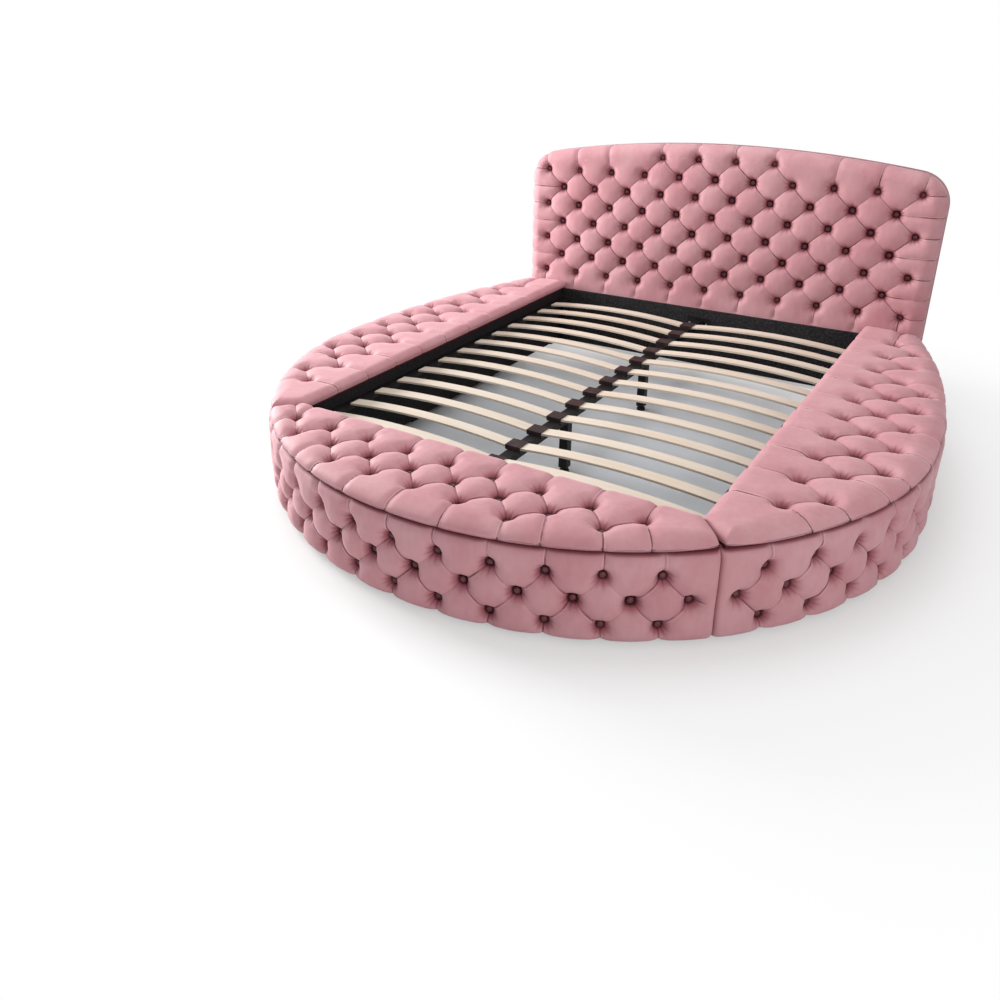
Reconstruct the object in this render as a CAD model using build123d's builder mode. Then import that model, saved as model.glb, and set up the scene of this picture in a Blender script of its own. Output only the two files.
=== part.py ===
"""Round bed with three tufted storage benches round a slatted mattress well.

The plan is a circle at the foot and the sides, with the mattress well cut into it. Behind the
circle's widest line the side benches run on in a gentler arc to a straight headboard.
+X is the right-hand side seen from the foot, +Y points to the headboard, +Z is up. The origin is
on the floor, in the middle of the bed's overall length and width. Lengths are in millimetres.
"""

from build123d import *
import os
from math import asin, atan2, cos, hypot, pi, sin, sqrt

os.makedirs("parts", exist_ok=True)

# Driving dimensions of the plan
bed_radius = 1245.0
foot_depth = 436.5
well_width = 1532.0
well_length = 2052.0
head_rail_thickness = 20.0
headboard_width = 2000.0

# Driving heights
floor_gap = 19.0
rim_height = 309.0
lid_height = 350.0
headboard_height = 1100.0
headboard_shoulder = 1010.0

# Sheet and board thicknesses
ply_thickness = 12.0
panel_thickness = 15.0
lid_board_thickness = 9.0

# Clearances shared by the whole bed
joint_gap = 0.5
face_gap = 0.3
bolt_clearance = 0.5
thread_clearance = 0.05
lid_gap = 2.0
overrun = 10.0

# Headboard, front to back
headboard_cushion_thickness = 60.0
headboard_panel_thickness = 15.0
headboard_post_thickness = 30.0
headboard_back_thickness = 2.0

# Tufted cover on the round outer walls
cover_thickness = 50.0
cover_tuft_depth = 34.0
cover_top = 307.0
cover_edge_roll = 8.0
cover_foot_roll = 17.0
cover_end_roll = 14.0
cover_shoulder = 16.0
wall_button_pitch = 160.0
wall_row_pitch = 79.5
wall_lowest_row = 73.5
wall_end_margin = 71.0

# Tufted lid cushions
lid_tuft_depth = 26.0
lid_roll = 28.0
roll_steps = 3
foot_lid_runs = 40
side_lid_front_runs = 24
side_lid_back_runs = 24
lid_overhang = 5.0
lid_skirt = 6.0
lid_seam_gap = 3.0
lid_button_fade_near = 38.0
lid_button_fade_far = 54.0
foot_lid_pitch = 167.0
foot_lid_row_pitch = 95.5
foot_lid_first_row = 125.0
foot_lid_shift = -30.0
side_lid_pitch = 185.0
side_lid_row_pitch = 101.0
side_lid_first_row = 160.0
side_lid_first_button = 191.0

# Tufted headboard cushion
headboard_tuft_depth = 34.0
headboard_roll = 34.0
headboard_pitch = 180.0
headboard_row_pitch = 90.0
headboard_lowest_row = 400.0
headboard_plain_height = 320.0
headboard_corner = 150.0
corner_runs = 5
arch_runs = 10

# Covered buttons
button_radius = 11.0
button_crown = 4.0
button_top_radius = 6.0

# Shares of a tuft's depth at a crease and at a pleat
crease_share = 0.45
pleat_share = 0.4
pleat_edge_share = 0.3
end_pleat_share = 0.35

# Storage boxes
inner_wall_setback = 17.5
glide_side = 40.0
glide_inset = 70.0
glides_per_side_wall = 4

# Loose battens that keep the lids in place
batten_width = 20.0
batten_height = 18.0
batten_gap = 3.0
batten_end_gap = 60.0
outer_batten_half = 250.0

# Slats and what carries them
slat_width = 53.0
slat_thickness = 8.0
slat_count = 13
slat_pitch = 148.9
first_slat = 116.6
slat_tip_x = 750.0
slat_end_height = 255.0
slat_bow = 22.0
rail_ledge = 60.0
rail_drop = 40.0
steel_thickness = 3.0

# Centre beam, its clips, legs and brackets
beam_width = 40.0
beam_height = 30.0
beam_wall = 2.0
clip_length = 60.0
clip_wall = 3.0
clip_web = 10.0
clip_skirt = 14.0
clip_roof = 2.6
leg_side = 35.0
leg_wall = 2.0
leg_plate_length = 90.0
leg_screw_inset = 12.0
leg_first_share = 3.5
leg_second_share = 8.5
leg_plug_height = 22.0
leg_foot_radius = 19.0
leg_foot_height = 12.0
leg_foot_clearance = 15.0
leg_stud_radius = 5.0
leg_stud_height = 30.0
leg_nut_radius = 9.0
leg_nut_height = 6.0
bracket_length = 45.0
bracket_plate_width = 110.0
bracket_plate_height = 90.0
bracket_screw_inset = 12.0

# Fasteners
bolt_radius = 4.0
bolt_head_radius = 8.0
bolt_head_height = 4.5
screw_radius = 2.5
screw_head_radius = 5.0
screw_head_height = 2.5
screw_depth = 11.0
shank_sides = 8
rail_screw_count = 4
rail_screw_inset = 100.0
corner_bolt_low = 95.0
corner_bolt_high = 225.0
corner_bolt_inset = 22.0
head_bolt_low = 120.0
head_bolt_high = 220.0
head_bolt_x = 620.0
frame_inner_post_x = 250.0
cleat_side = 20.0

# Timber frame behind the headboard's panel
frame_timber = 80.0
frame_side_inset = 4.0
frame_top = 900.0
frame_grip_share = 0.8
headboard_glide_side = 26.0

# Places worked out from the driving dimensions
root_two = sqrt(2)
half_well = well_width / 2
headboard_thickness = (
    joint_gap
    + headboard_cushion_thickness
    + face_gap
    + headboard_panel_thickness
    + headboard_post_thickness
    + face_gap
    + headboard_back_thickness
)
bed_length = foot_depth + well_length + head_rail_thickness + headboard_thickness
foot_y = foot_depth - bed_length / 2
centre_y = foot_y + bed_radius - foot_depth
head_y = foot_y + well_length
rear_y = head_y + head_rail_thickness
half_headboard = headboard_width / 2
back_run = rear_y - centre_y
back_radius = (back_run**2 + (bed_radius - half_headboard) ** 2) / (2 * (bed_radius - half_headboard))
back_centre_x = bed_radius - back_radius

wall_base = floor_gap + ply_thickness
inner_face = half_well + inner_wall_setback
lid_drop = lid_overhang
side_lid_rear = joint_gap + lid_gap
lid_top_of_board = rim_height + lid_board_thickness
lid_underside = rim_height + lid_seam_gap
clip_floor = slat_end_height - face_gap
beam_top = clip_floor - clip_wall
beam_low = beam_top - beam_height
bracket_screw_x = bracket_plate_width / 2 - bracket_screw_inset
bracket_screw_z = beam_low + beam_height / 2


def keep(piece, name):
    """Name a finished piece and write its STEP file."""
    piece.label = name
    export_step(piece, f"parts/{name}.step")


def mitre_point(drop, reach):
    """Where the circle, moved in by drop, meets the line x + (y - foot_y) = reach."""
    radius = bed_radius - drop
    offset = reach - (centre_y - foot_y)
    x = (offset + sqrt(2 * radius**2 - offset**2)) / 2
    return (x, foot_y + reach - x)


def back_arc_x(drop, y):
    """x of the gentler arc behind the circle, moved in by drop, at the height y of the plan."""
    return back_centre_x + sqrt((back_radius - drop) ** 2 - (y - centre_y) ** 2)


def foot_plan(inner_drop, drop, gap):
    """Plan of a foot piece: mattress side, two mitred ends and the round outside."""
    reach = half_well - root_two * gap
    inner_y = foot_y - inner_drop
    outer_x, outer_y = mitre_point(drop, reach)
    with BuildSketch() as plan:
        with BuildLine():
            Line((-reach - inner_drop, inner_y), (reach + inner_drop, inner_y))
            Line((reach + inner_drop, inner_y), (outer_x, outer_y))
            ThreePointArc((outer_x, outer_y), (0, centre_y - bed_radius + drop), (-outer_x, outer_y))
            Line((-outer_x, outer_y), (-reach - inner_drop, inner_y))
        make_face()
    return plan.sketch


def side_plan(inner_x, drop, gap, rear_gap):
    """Plan of a right-hand piece: mattress side, mitred front, round outside and straight rear."""
    reach = half_well + root_two * gap
    outer = mitre_point(drop, reach)
    middle = (atan2(outer[1] - centre_y, outer[0])) / 2
    radius = bed_radius - drop
    end_y = rear_y - rear_gap
    end_x = back_arc_x(drop, end_y)
    turn = asin((end_y - centre_y) / (back_radius - drop)) / 2
    half_back = (
        back_centre_x + (back_radius - drop) * cos(turn),
        centre_y + (back_radius - drop) * sin(turn),
    )
    with BuildSketch() as plan:
        with BuildLine():
            Line((inner_x, end_y), (inner_x, foot_y + reach - inner_x))
            Line((inner_x, foot_y + reach - inner_x), outer)
            ThreePointArc(outer, (radius * cos(middle), centre_y + radius * sin(middle)), (radius, centre_y))
            ThreePointArc((radius, centre_y), half_back, (end_x, end_y))
            Line((end_x, end_y), (inner_x, end_y))
        make_face()
    return plan.sketch


def slab(plan, low, high):
    """A flat board with the given plan between two heights."""
    with BuildPart() as board:
        with BuildSketch(Plane.XY.offset(low)):
            add(plan)
        extrude(amount=high - low)
    return board.part


# Diamond tufting: u counts quarter pitches along a row, v counts half rows across


def lattice_share(u, v):
    """Depth of the tufting at a lattice place, from 0 on a crown to 1 at a button."""
    falling = abs((u - v + 2) % 4 - 2) / 2
    rising = abs((u + v + 2) % 4 - 2) / 2
    pit = ((1 - falling) * (1 - rising)) ** 2
    crease = max((1 - falling) ** 3, (1 - rising) ** 3)
    return (1 - crease_share) * pit + crease_share * crease


def straight_pleat_share(u):
    """Depth of the straight pleats that run from the last row of buttons to an edge."""
    return (1 - abs((u + 2) % 4 - 2) / 2) ** 3


def flat_faced(loops):
    """The solid closed by flat faces, each given by the points of its outline."""
    return Solid(Shell([Face(Wire.make_polygon([Vector(*point) for point in loop])) for loop in loops]))


def faceted(columns, rows, front, back):
    """A cushion of flat facets: a tufted front on a grid, and a plain back.

    front(i, j) and back(i, j) give points for grid places, and every end of the grid lies in a plane.
    """
    last_i, last_j = len(columns) - 1, len(rows) - 1
    grid = [[front(i, j) for j in range(last_j + 1)] for i in range(last_i + 1)]
    loops = []
    for i in range(last_i):
        for j in range(last_j):
            a, b, c, d = grid[i][j], grid[i + 1][j], grid[i + 1][j + 1], grid[i][j + 1]
            falling = (columns[i] - rows[j]) % 4
            rising = (columns[i] + rows[j] + 1) % 4
            if falling == 0 or rising == 2:
                loops += [(a, b, c), (a, c, d)]
            else:
                loops += [(a, b, d), (b, c, d)]
    low = [back(i, 0) for i in range(last_i + 1)]
    high = [back(i, last_j) for i in range(last_i + 1)]
    for i in range(last_i):
        loops.append((low[i], low[i + 1], high[i + 1], high[i]))
    loops.append([grid[i][0] for i in range(last_i + 1)] + low[::-1])
    loops.append([grid[i][last_j] for i in range(last_i + 1)] + high[::-1])
    loops.append(grid[0] + [high[0], low[0]])
    loops.append(grid[last_i] + [high[last_i], low[last_i]])
    return flat_faced(loops)


def rolled(outline, place, depths):
    """A pad whose edge rolls over: rings of the outline, drawn in ever more towards the face.

    outline(inset) gives the ring's plan and place(point, depth) puts it in space.
    """
    rings = [[place(point, depths[0]) for point in outline(0)]]
    for step in range(roll_steps + 1):
        turn = pi / 2 * step / roll_steps
        depth = depths[1] + (depths[2] - depths[1]) * sin(turn)
        inset = abs(depths[2] - depths[1]) * (1 - cos(turn))
        rings.append([place(point, depth) for point in outline(inset)])
    loops = [rings[0], rings[-1]]
    for low, high in zip(rings, rings[1:]):
        for k in range(len(low)):
            loops += [(low[k - 1], low[k], high[k]), (low[k - 1], high[k], high[k - 1])]
    return flat_faced(loops)


def button(seat, direction, slope):
    """A six-sided covered button whose pointed back sits in a pit of the given slope."""
    plane = Plane(origin=seat, z_dir=direction)
    tip_height = 2 * face_gap
    edge_height = tip_height + button_radius * slope
    rings = []
    for height, radius in ((edge_height, button_radius), (edge_height + button_crown, button_top_radius)):
        turns = [k * pi / 3 for k in range(6)]
        rings.append([plane.from_local_coords((radius * cos(a), radius * sin(a), height)) for a in turns])
    tip = plane.from_local_coords((0, 0, tip_height))
    loops = [rings[1]]
    for k in range(6):
        loops.append((tip, rings[0][k - 1], rings[0][k]))
        loops.append((rings[0][k - 1], rings[0][k], rings[1][k], rings[1][k - 1]))
    return flat_faced(loops)


# Round outer walls: columns along the wall, rows up it


def wall_rows():
    """Row numbers and heights of the tufted cover, from its foot to the lid seam."""
    half_row = wall_row_pitch / 2
    rows = [(v, wall_lowest_row + v * half_row) for v in range(6)]
    low = [(-2, floor_gap), (-1, floor_gap + cover_shoulder)]
    high = [(6, cover_top - cover_edge_roll), (7, cover_top)]
    return low + rows + high


def wall_depth(u, v, last_u):
    """How far a place on the cover lies in from its crown."""
    if u < 2 or u > last_u - 2:
        share = end_pleat_share if v == 2 and u in (1, last_u - 1) else 0
    elif v < 0 or v > 4:
        edge = pleat_edge_share if v in (-2, 7) else pleat_share
        share = edge * straight_pleat_share(u)
    else:
        share = lattice_share(u, v)
    depth = share * cover_tuft_depth
    if v == 7:
        depth += cover_edge_roll
    if v == -2:
        depth += cover_foot_roll
    if u in (0, last_u):
        depth = max(depth, cover_end_roll)
    return depth


def wall_stations(length):
    """Distances of the grid columns along a wall of the given length."""
    inner = length - 2 * wall_end_margin
    pitches = max(1, round(inner / wall_button_pitch))
    step = inner / (4 * pitches)
    stations = [0, wall_end_margin / 2]
    stations += [wall_end_margin + step * k for k in range(4 * pitches + 1)]
    return stations + [length - wall_end_margin / 2, length]


foot_reach = half_well - root_two * joint_gap
side_reach = half_well + root_two * joint_gap
foot_corner = mitre_point(0, foot_reach)
foot_half_angle = atan2(foot_corner[0], centre_y - foot_corner[1])
side_corner = mitre_point(0, side_reach)
side_start_angle = atan2(side_corner[1] - centre_y, side_corner[0])
side_end_y = rear_y - joint_gap
back_turn = asin((side_end_y - centre_y) / back_radius)
side_round_length = -side_start_angle * bed_radius
foot_stations = wall_stations(2 * foot_half_angle * bed_radius)
side_stations = wall_stations(side_round_length + back_turn * back_radius)


def foot_wall_place(i, depth):
    """Plan point of the foot wall's column i, set in by depth."""
    if i == 0:
        x, y = mitre_point(depth, foot_reach)
        return (-x, y)
    if i == len(foot_stations) - 1:
        return mitre_point(depth, foot_reach)
    angle = foot_stations[i] / bed_radius - foot_half_angle
    return ((bed_radius - depth) * sin(angle), centre_y - (bed_radius - depth) * cos(angle))


def side_wall_place(i, depth):
    """Plan point of the right wall's column i, set in by depth."""
    if i == 0:
        return mitre_point(depth, side_reach)
    if i == len(side_stations) - 1:
        return (back_arc_x(depth, side_end_y), side_end_y)
    station = side_stations[i]
    if station < side_round_length:
        angle = side_start_angle + station / bed_radius
        return ((bed_radius - depth) * cos(angle), centre_y + (bed_radius - depth) * sin(angle))
    angle = (station - side_round_length) / back_radius
    reach = back_radius - depth
    return (back_centre_x + reach * cos(angle), centre_y + reach * sin(angle))


def wall_cover(stations, place):
    """Tufted cover of a round wall."""
    rows = wall_rows()
    numbers = [row[0] for row in rows]
    columns = list(range(len(stations)))
    last_u = len(stations) - 1

    def front(i, j):
        return (*place(i, wall_depth(i, rows[j][0], last_u)), rows[j][1])

    def back(i, j):
        return (*place(i, cover_thickness - joint_gap), rows[j][1])

    return faceted(columns, numbers, front, back)


def wall_buttons(stations, place):
    """Buttons of a round wall: three staggered rows."""
    buttons = []
    last_u = len(stations) - 1
    for v, height in wall_rows():
        for u in range(2, last_u - 1):
            if v in (0, 2, 4) and (u - v) % 4 == 0:
                seat = place(u, cover_tuft_depth)
                out = place(u, 0)
                direction = (out[0] - seat[0], out[1] - seat[1], 0)
                buttons.append(button((*seat, height), direction, 4 * cover_tuft_depth / wall_button_pitch))
    return buttons


# Lid cushions: a tufted block cut to the lid's plan with rolled edges


def lid_numbers(first, pitch, low, high):
    """Lattice numbers and places that cover the span from low to high."""
    step = pitch
    start = int((low - first) // step)
    stop = int((high - first) // step) + 1
    return [(n, first + n * step) for n in range(start, stop + 1)]


def foot_rim_distance(along, across):
    """Least distance from a place on the foot lid to its outer edge or mitres."""
    rim = bed_radius - lid_drop - hypot(along, centre_y - foot_y + across)
    return min(rim, (half_well + across - abs(along)) / root_two)


def side_rim_distance(along, across):
    """Least distance from a place on a side lid to its outer edge or ends."""
    x, y = half_well + across, foot_y + along
    if y < centre_y:
        rim = bed_radius - lid_drop - hypot(x, y - centre_y)
    else:
        rim = back_radius - lid_drop - hypot(x - back_centre_x, y - centre_y)
    return min(rim, (across + along) / root_two, rear_y - y)


def fade(distance):
    """1 well inside the lid, falling to 0 near its edge."""
    span = lid_button_fade_far - lid_button_fade_near
    return min(1, max(0, (distance - lid_button_fade_near) / span))


def lid_share(u, v, distance):
    """Depth of the lid's tufting at a lattice place."""
    share = straight_pleat_share(u) * pleat_share if v < 0 else lattice_share(u, v)
    return share * fade(distance)


def arc_points(centre_x, radius, start, stop, count):
    """Points along an arc of the plan, from one turn to another."""
    turns = [start + (stop - start) * k / count for k in range(count + 1)]
    return [(centre_x + radius * cos(turn), centre_y + radius * sin(turn)) for turn in turns]


def foot_lid_outline(inset):
    """Plan of the foot lid cushion with straight runs round the rim, drawn in all round."""
    drop, reach = lid_drop + inset, half_well - root_two * (lid_gap + inset)
    outer = mitre_point(drop, reach)
    turn = atan2(outer[1] - centre_y, outer[0])
    arc = arc_points(0, bed_radius - drop, turn, -pi - turn, foot_lid_runs)
    return [(-reach - inset, foot_y - inset), (reach + inset, foot_y - inset)] + arc


def side_lid_outline(inset):
    """Plan of the right lid cushion with straight runs round the rim, drawn in all round."""
    drop, reach = lid_drop + inset, half_well + root_two * (lid_gap + inset)
    outer = mitre_point(drop, reach)
    inner_x, end_y = half_well + inset, rear_y - side_lid_rear - inset
    front = arc_points(0, bed_radius - drop, atan2(outer[1] - centre_y, outer[0]), 0, side_lid_front_runs)
    back_turn = asin((end_y - centre_y) / (back_radius - drop))
    back = arc_points(back_centre_x, back_radius - drop, 0, back_turn, side_lid_back_runs)
    return [(inner_x, end_y), (inner_x, foot_y + reach - inner_x)] + front + back[1:]


def lid_cushion(outline, inner_plan, block):
    """Cushion over a lid board: rolled edges, tufted top and a skirt round the board."""
    with BuildPart() as cushion:
        add(rolled(outline, lambda point, z: (*point, z), (lid_underside, lid_height - lid_roll, lid_height)))
        add(block, mode=Mode.INTERSECT)
        with BuildSketch(Plane.XY.offset(lid_underside)):
            add(inner_plan)
        extrude(amount=lid_top_of_board + face_gap - lid_underside, mode=Mode.SUBTRACT)
    return cushion.part


def tufted_lid_block(alongs, acrosses, distance, place):
    """Tufted block that reaches past a lid on every side."""

    def front(i, j):
        u, along = alongs[i]
        v, across = acrosses[j]
        share = lid_share(u, v, distance(along, across))
        return place(along, across, lid_height - share * lid_tuft_depth)

    def back(i, j):
        return place(alongs[i][1], acrosses[j][1], rim_height - overrun)

    return faceted([n[0] for n in alongs], [n[0] for n in acrosses], front, back)


def lid_buttons(alongs, acrosses, distance, place):
    """Buttons at the bottom of the lid's pits."""
    buttons = []
    for u, along in alongs:
        for v, across in acrosses:
            lattice = u % 4 == v % 4 and v % 2 == 0 and v >= 0
            if lattice and distance(along, across) >= lid_button_fade_far:
                seat = place(along, across, lid_height - lid_tuft_depth)
                buttons.append(button(seat, (0, 0, 1), 4 * lid_tuft_depth / foot_lid_pitch))
    return buttons


def foot_lid_place(along, across, height):
    return (along, foot_y - across, height)


def side_lid_place(along, across, height):
    return (half_well + across, foot_y + along, height)


foot_alongs = lid_numbers(foot_lid_shift, foot_lid_pitch / 4, -bed_radius, bed_radius)
foot_acrosses = lid_numbers(foot_lid_first_row, foot_lid_row_pitch / 2, -overrun, foot_depth + overrun)
side_alongs = lid_numbers(side_lid_first_button, side_lid_pitch / 4, -foot_depth, rear_y - foot_y + overrun)
side_acrosses = lid_numbers(
    side_lid_first_row, side_lid_row_pitch / 2, -overrun, bed_radius - half_well + overrun
)


# Storage boxes


def glide(x, y, side):
    """Square plastic glide between the floor and what stands on it."""
    with BuildPart() as foot:
        with BuildSketch(Plane.XY.offset(0)):
            with Locations((x, y)):
                Rectangle(side, side)
        extrude(amount=floor_gap)
    return foot.solid()


def ring_wall(outer_plan, hollow_plan, low, high):
    """What is left of a slab when a smaller one is taken out of it."""
    with BuildPart() as wall:
        add(slab(outer_plan, low, high))
        add(slab(hollow_plan, low - overrun, high + overrun), mode=Mode.SUBTRACT)
    return wall.part


def strip(corners, low, high):
    """A straight panel with the given plan corners."""
    with BuildPart() as panel:
        with BuildSketch(Plane.XY.offset(low)):
            with BuildLine():
                Polyline(*corners, close=True)
            make_face()
        extrude(amount=high - low)
    return panel.part


def bolt(place, direction, length, nut):
    """A bolt whose six-sided head rests at place; with a nut, that sits at its far end."""
    plane = Plane(origin=place, z_dir=direction)
    with BuildPart() as piece:
        with BuildSketch(plane):
            RegularPolygon(radius=bolt_radius, side_count=shank_sides)
        extrude(amount=length)
        with BuildSketch(plane):
            RegularPolygon(radius=bolt_head_radius, side_count=6)
        extrude(amount=-bolt_head_height)
        if nut:
            with BuildSketch(plane.offset(length)):
                RegularPolygon(radius=bolt_head_radius, side_count=6)
            extrude(amount=bolt_head_height)
    return piece.part


def screw(place, direction, grip):
    """A screw whose head rests at place and that holds a piece as thick as the grip."""
    plane = Plane(origin=place, z_dir=direction)
    with BuildPart() as piece:
        with BuildSketch(plane):
            RegularPolygon(radius=screw_radius, side_count=shank_sides)
        extrude(amount=grip + screw_depth)
        with BuildSketch(plane):
            RegularPolygon(radius=screw_head_radius, side_count=shank_sides)
        extrude(amount=-screw_head_height)
    return piece.part


def drilled(panel, places, direction, radius, reach):
    """The panel with a round hole along direction through each place."""
    with BuildPart() as holed:
        add(panel)
        for place in places:
            plane = Plane(origin=place, z_dir=direction)
            with BuildSketch(plane):
                Circle(radius)
            extrude(amount=reach, both=True, mode=Mode.SUBTRACT)
    return holed.part


ply_drop = cover_thickness
hollow_drop = cover_thickness + ply_thickness
corner_bolt_places = []
for bolt_height in (corner_bolt_low, corner_bolt_high):
    along = corner_bolt_inset / root_two
    corner_bolt_places.append((inner_face + along, foot_y - inner_wall_setback - along, bolt_height))
corner_direction = (1, 1, 0)


def end_panel_plan(near, far):
    """Plan corners of a mitred end panel between two offsets from the mitre."""
    near_reach = half_well + root_two * near
    far_reach = half_well + root_two * far
    near_out = mitre_point(hollow_drop + joint_gap, near_reach)
    far_out = mitre_point(hollow_drop + joint_gap, far_reach)
    return near_reach, far_reach, near_out, far_out


# Foot bench
foot_panel_reach = half_well - root_two * (joint_gap + panel_thickness)
foot_inner_y = foot_y - inner_wall_setback

keep(slab(foot_plan(inner_wall_setback, ply_drop, joint_gap), floor_gap, wall_base), "foot_bench_base")

back_y = foot_inner_y - panel_thickness
front_x = foot_panel_reach + inner_wall_setback
back_x = foot_panel_reach + inner_wall_setback + panel_thickness
foot_inner_wall = drilled(
    strip(
        [(-front_x, foot_inner_y), (front_x, foot_inner_y), (back_x, back_y), (-back_x, back_y)],
        wall_base,
        rim_height,
    ),
    [(x, foot_inner_y, bracket_screw_z) for x in (-bracket_screw_x, bracket_screw_x)],
    (0, 1, 0),
    screw_radius + thread_clearance,
    screw_depth + face_gap,
)
keep(foot_inner_wall, "foot_bench_inner_wall")

foot_outer_wall = ring_wall(
    foot_plan(inner_wall_setback, ply_drop, joint_gap),
    foot_plan(-overrun, hollow_drop, -overrun),
    wall_base,
    rim_height,
)
keep(foot_outer_wall, "foot_bench_outer_wall")

near_reach, far_reach, near_out, far_out = end_panel_plan(-joint_gap, -joint_gap - panel_thickness)
right_end_corners = [
    (near_reach + inner_wall_setback, foot_inner_y),
    near_out,
    far_out,
    (far_reach + inner_wall_setback, foot_inner_y),
]
with BuildPart() as foot_ends:
    right_end = drilled(
        strip(right_end_corners, wall_base, rim_height),
        corner_bolt_places,
        corner_direction,
        bolt_radius + bolt_clearance,
        panel_thickness * 2,
    )
    add(right_end)
    mirror(right_end, about=Plane.YZ)
keep(foot_ends.part, "foot_bench_end_panels")

keep(Part([wall_cover(foot_stations, foot_wall_place)]), "foot_bench_cover")
keep(Part(wall_buttons(foot_stations, foot_wall_place)), "foot_bench_buttons")

foot_glide_x = half_well - glide_inset
foot_glide_front = centre_y - bed_radius + cover_thickness + glide_inset
foot_glides = [
    glide(x, y, glide_side)
    for x, y in (
        (-foot_glide_x, foot_inner_y - glide_inset),
        (0, foot_inner_y - glide_inset),
        (foot_glide_x, foot_inner_y - glide_inset),
        (-foot_glide_x / 2, foot_glide_front + glide_inset),
        (0, foot_glide_front),
        (foot_glide_x / 2, foot_glide_front + glide_inset),
    )
]
keep(Part(foot_glides), "foot_bench_glides")

# Foot lid
foot_board_plan = foot_plan(lid_skirt, lid_drop + lid_skirt, lid_gap + lid_skirt)
foot_pocket_plan = foot_plan(
    lid_skirt - face_gap, lid_drop + lid_skirt - face_gap, lid_gap + lid_skirt - face_gap
)
keep(slab(foot_board_plan, rim_height, lid_top_of_board), "foot_lid_board")
foot_block = tufted_lid_block(foot_alongs, foot_acrosses, foot_rim_distance, foot_lid_place)
keep(lid_cushion(foot_lid_outline, foot_pocket_plan, foot_block), "foot_lid_cushion")
keep(Part(lid_buttons(foot_alongs, foot_acrosses, foot_rim_distance, foot_lid_place)), "foot_lid_buttons")


def batten(low_x, low_y, high_x, high_y):
    """A straight batten under a lid board."""
    corners = [(low_x, low_y), (high_x, low_y), (high_x, high_y), (low_x, high_y)]
    return strip(corners, rim_height - batten_height, rim_height)


batten_half = foot_panel_reach - batten_end_gap
inner_batten_y = foot_inner_y - panel_thickness - batten_gap
hollow_radius = bed_radius - hollow_drop - batten_gap
outer_batten_y = centre_y - sqrt(hollow_radius**2 - outer_batten_half**2)
foot_battens = [
    batten(-batten_half, inner_batten_y - batten_width, batten_half, inner_batten_y).solid(),
    batten(-outer_batten_half, outer_batten_y, outer_batten_half, outer_batten_y + batten_width).solid(),
]
keep(Part(foot_battens), "foot_lid_battens")

# Side benches: made on the right and mirrored to the left


def keep_pair(piece, name):
    """Write a right-hand piece and its mirror image on the left."""
    left = mirror(piece, about=Plane.YZ)
    keep(piece, f"right_{name}")
    keep(left, f"left_{name}")


side_inner_back = inner_face + panel_thickness
side_panel_reach = half_well + root_two * (joint_gap + panel_thickness)
side_rear_panel_y = side_end_y - panel_thickness

keep_pair(slab(side_plan(inner_face, ply_drop, joint_gap, joint_gap), floor_gap, wall_base), "bench_base")

rail_screw_ys = [
    head_y - rail_screw_inset - k * (well_length - 2 * rail_screw_inset) / (rail_screw_count - 1)
    for k in range(rail_screw_count)
]
rail_top = slat_end_height
rail_screw_z = rail_top - rail_drop / 2
rail_screw_places = [(inner_face, y, rail_screw_z) for y in rail_screw_ys]
cleat_top = slat_end_height - rail_drop - joint_gap
cleat_screw_height = (wall_base + cleat_top) / 2
cleat_wall_places = [(inner_face, head_y - cleat_side / 2, cleat_screw_height)]
side_inner_wall = strip(
    [
        (inner_face, foot_y + side_panel_reach - inner_face),
        (inner_face, side_rear_panel_y),
        (side_inner_back, side_rear_panel_y),
        (side_inner_back, foot_y + side_panel_reach - side_inner_back),
    ],
    wall_base,
    rim_height,
)
side_inner_wall = drilled(
    side_inner_wall, rail_screw_places, (1, 0, 0), screw_radius + thread_clearance, screw_depth + face_gap
)
side_inner_wall = drilled(
    side_inner_wall, cleat_wall_places, (1, 0, 0), screw_radius + thread_clearance, screw_depth + face_gap
)
keep_pair(side_inner_wall, "bench_inner_wall")

side_outer_wall = ring_wall(
    side_plan(inner_face, ply_drop, joint_gap, joint_gap),
    side_plan(inner_face - overrun, hollow_drop, -overrun, -overrun),
    wall_base,
    rim_height,
)
keep_pair(side_outer_wall, "bench_outer_wall")

near_reach, far_reach, near_out, far_out = end_panel_plan(joint_gap, joint_gap + panel_thickness)
front_panel = drilled(
    strip(
        [
            (inner_face, foot_y + near_reach - inner_face),
            near_out,
            far_out,
            (inner_face, foot_y + far_reach - inner_face),
        ],
        wall_base,
        rim_height,
    ),
    corner_bolt_places,
    corner_direction,
    bolt_radius + bolt_clearance,
    panel_thickness * 2,
)
rear_panel = strip(
    [
        (inner_face, side_end_y),
        (back_arc_x(hollow_drop + joint_gap, side_end_y), side_end_y),
        (back_arc_x(hollow_drop + joint_gap, side_rear_panel_y), side_rear_panel_y),
        (inner_face, side_rear_panel_y),
    ],
    wall_base,
    rim_height,
)
keep_pair(Part([front_panel.solid(), rear_panel.solid()]), "bench_end_panels")

keep_pair(Part([wall_cover(side_stations, side_wall_place)]), "bench_cover")
keep_pair(Part(wall_buttons(side_stations, side_wall_place)), "bench_buttons")

side_glides = []
for k in range(glides_per_side_wall):
    y = foot_y + glide_inset + k * (rear_y - foot_y - 2 * glide_inset) / (glides_per_side_wall - 1)
    side_glides.append(glide(inner_face + glide_inset / 2, y, glide_side))
    if 0 < k < glides_per_side_wall - 1:
        side_glides.append(glide(bed_radius - cover_thickness - glide_inset * 2, y, glide_side))
keep_pair(Part(side_glides), "bench_glides")

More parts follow.
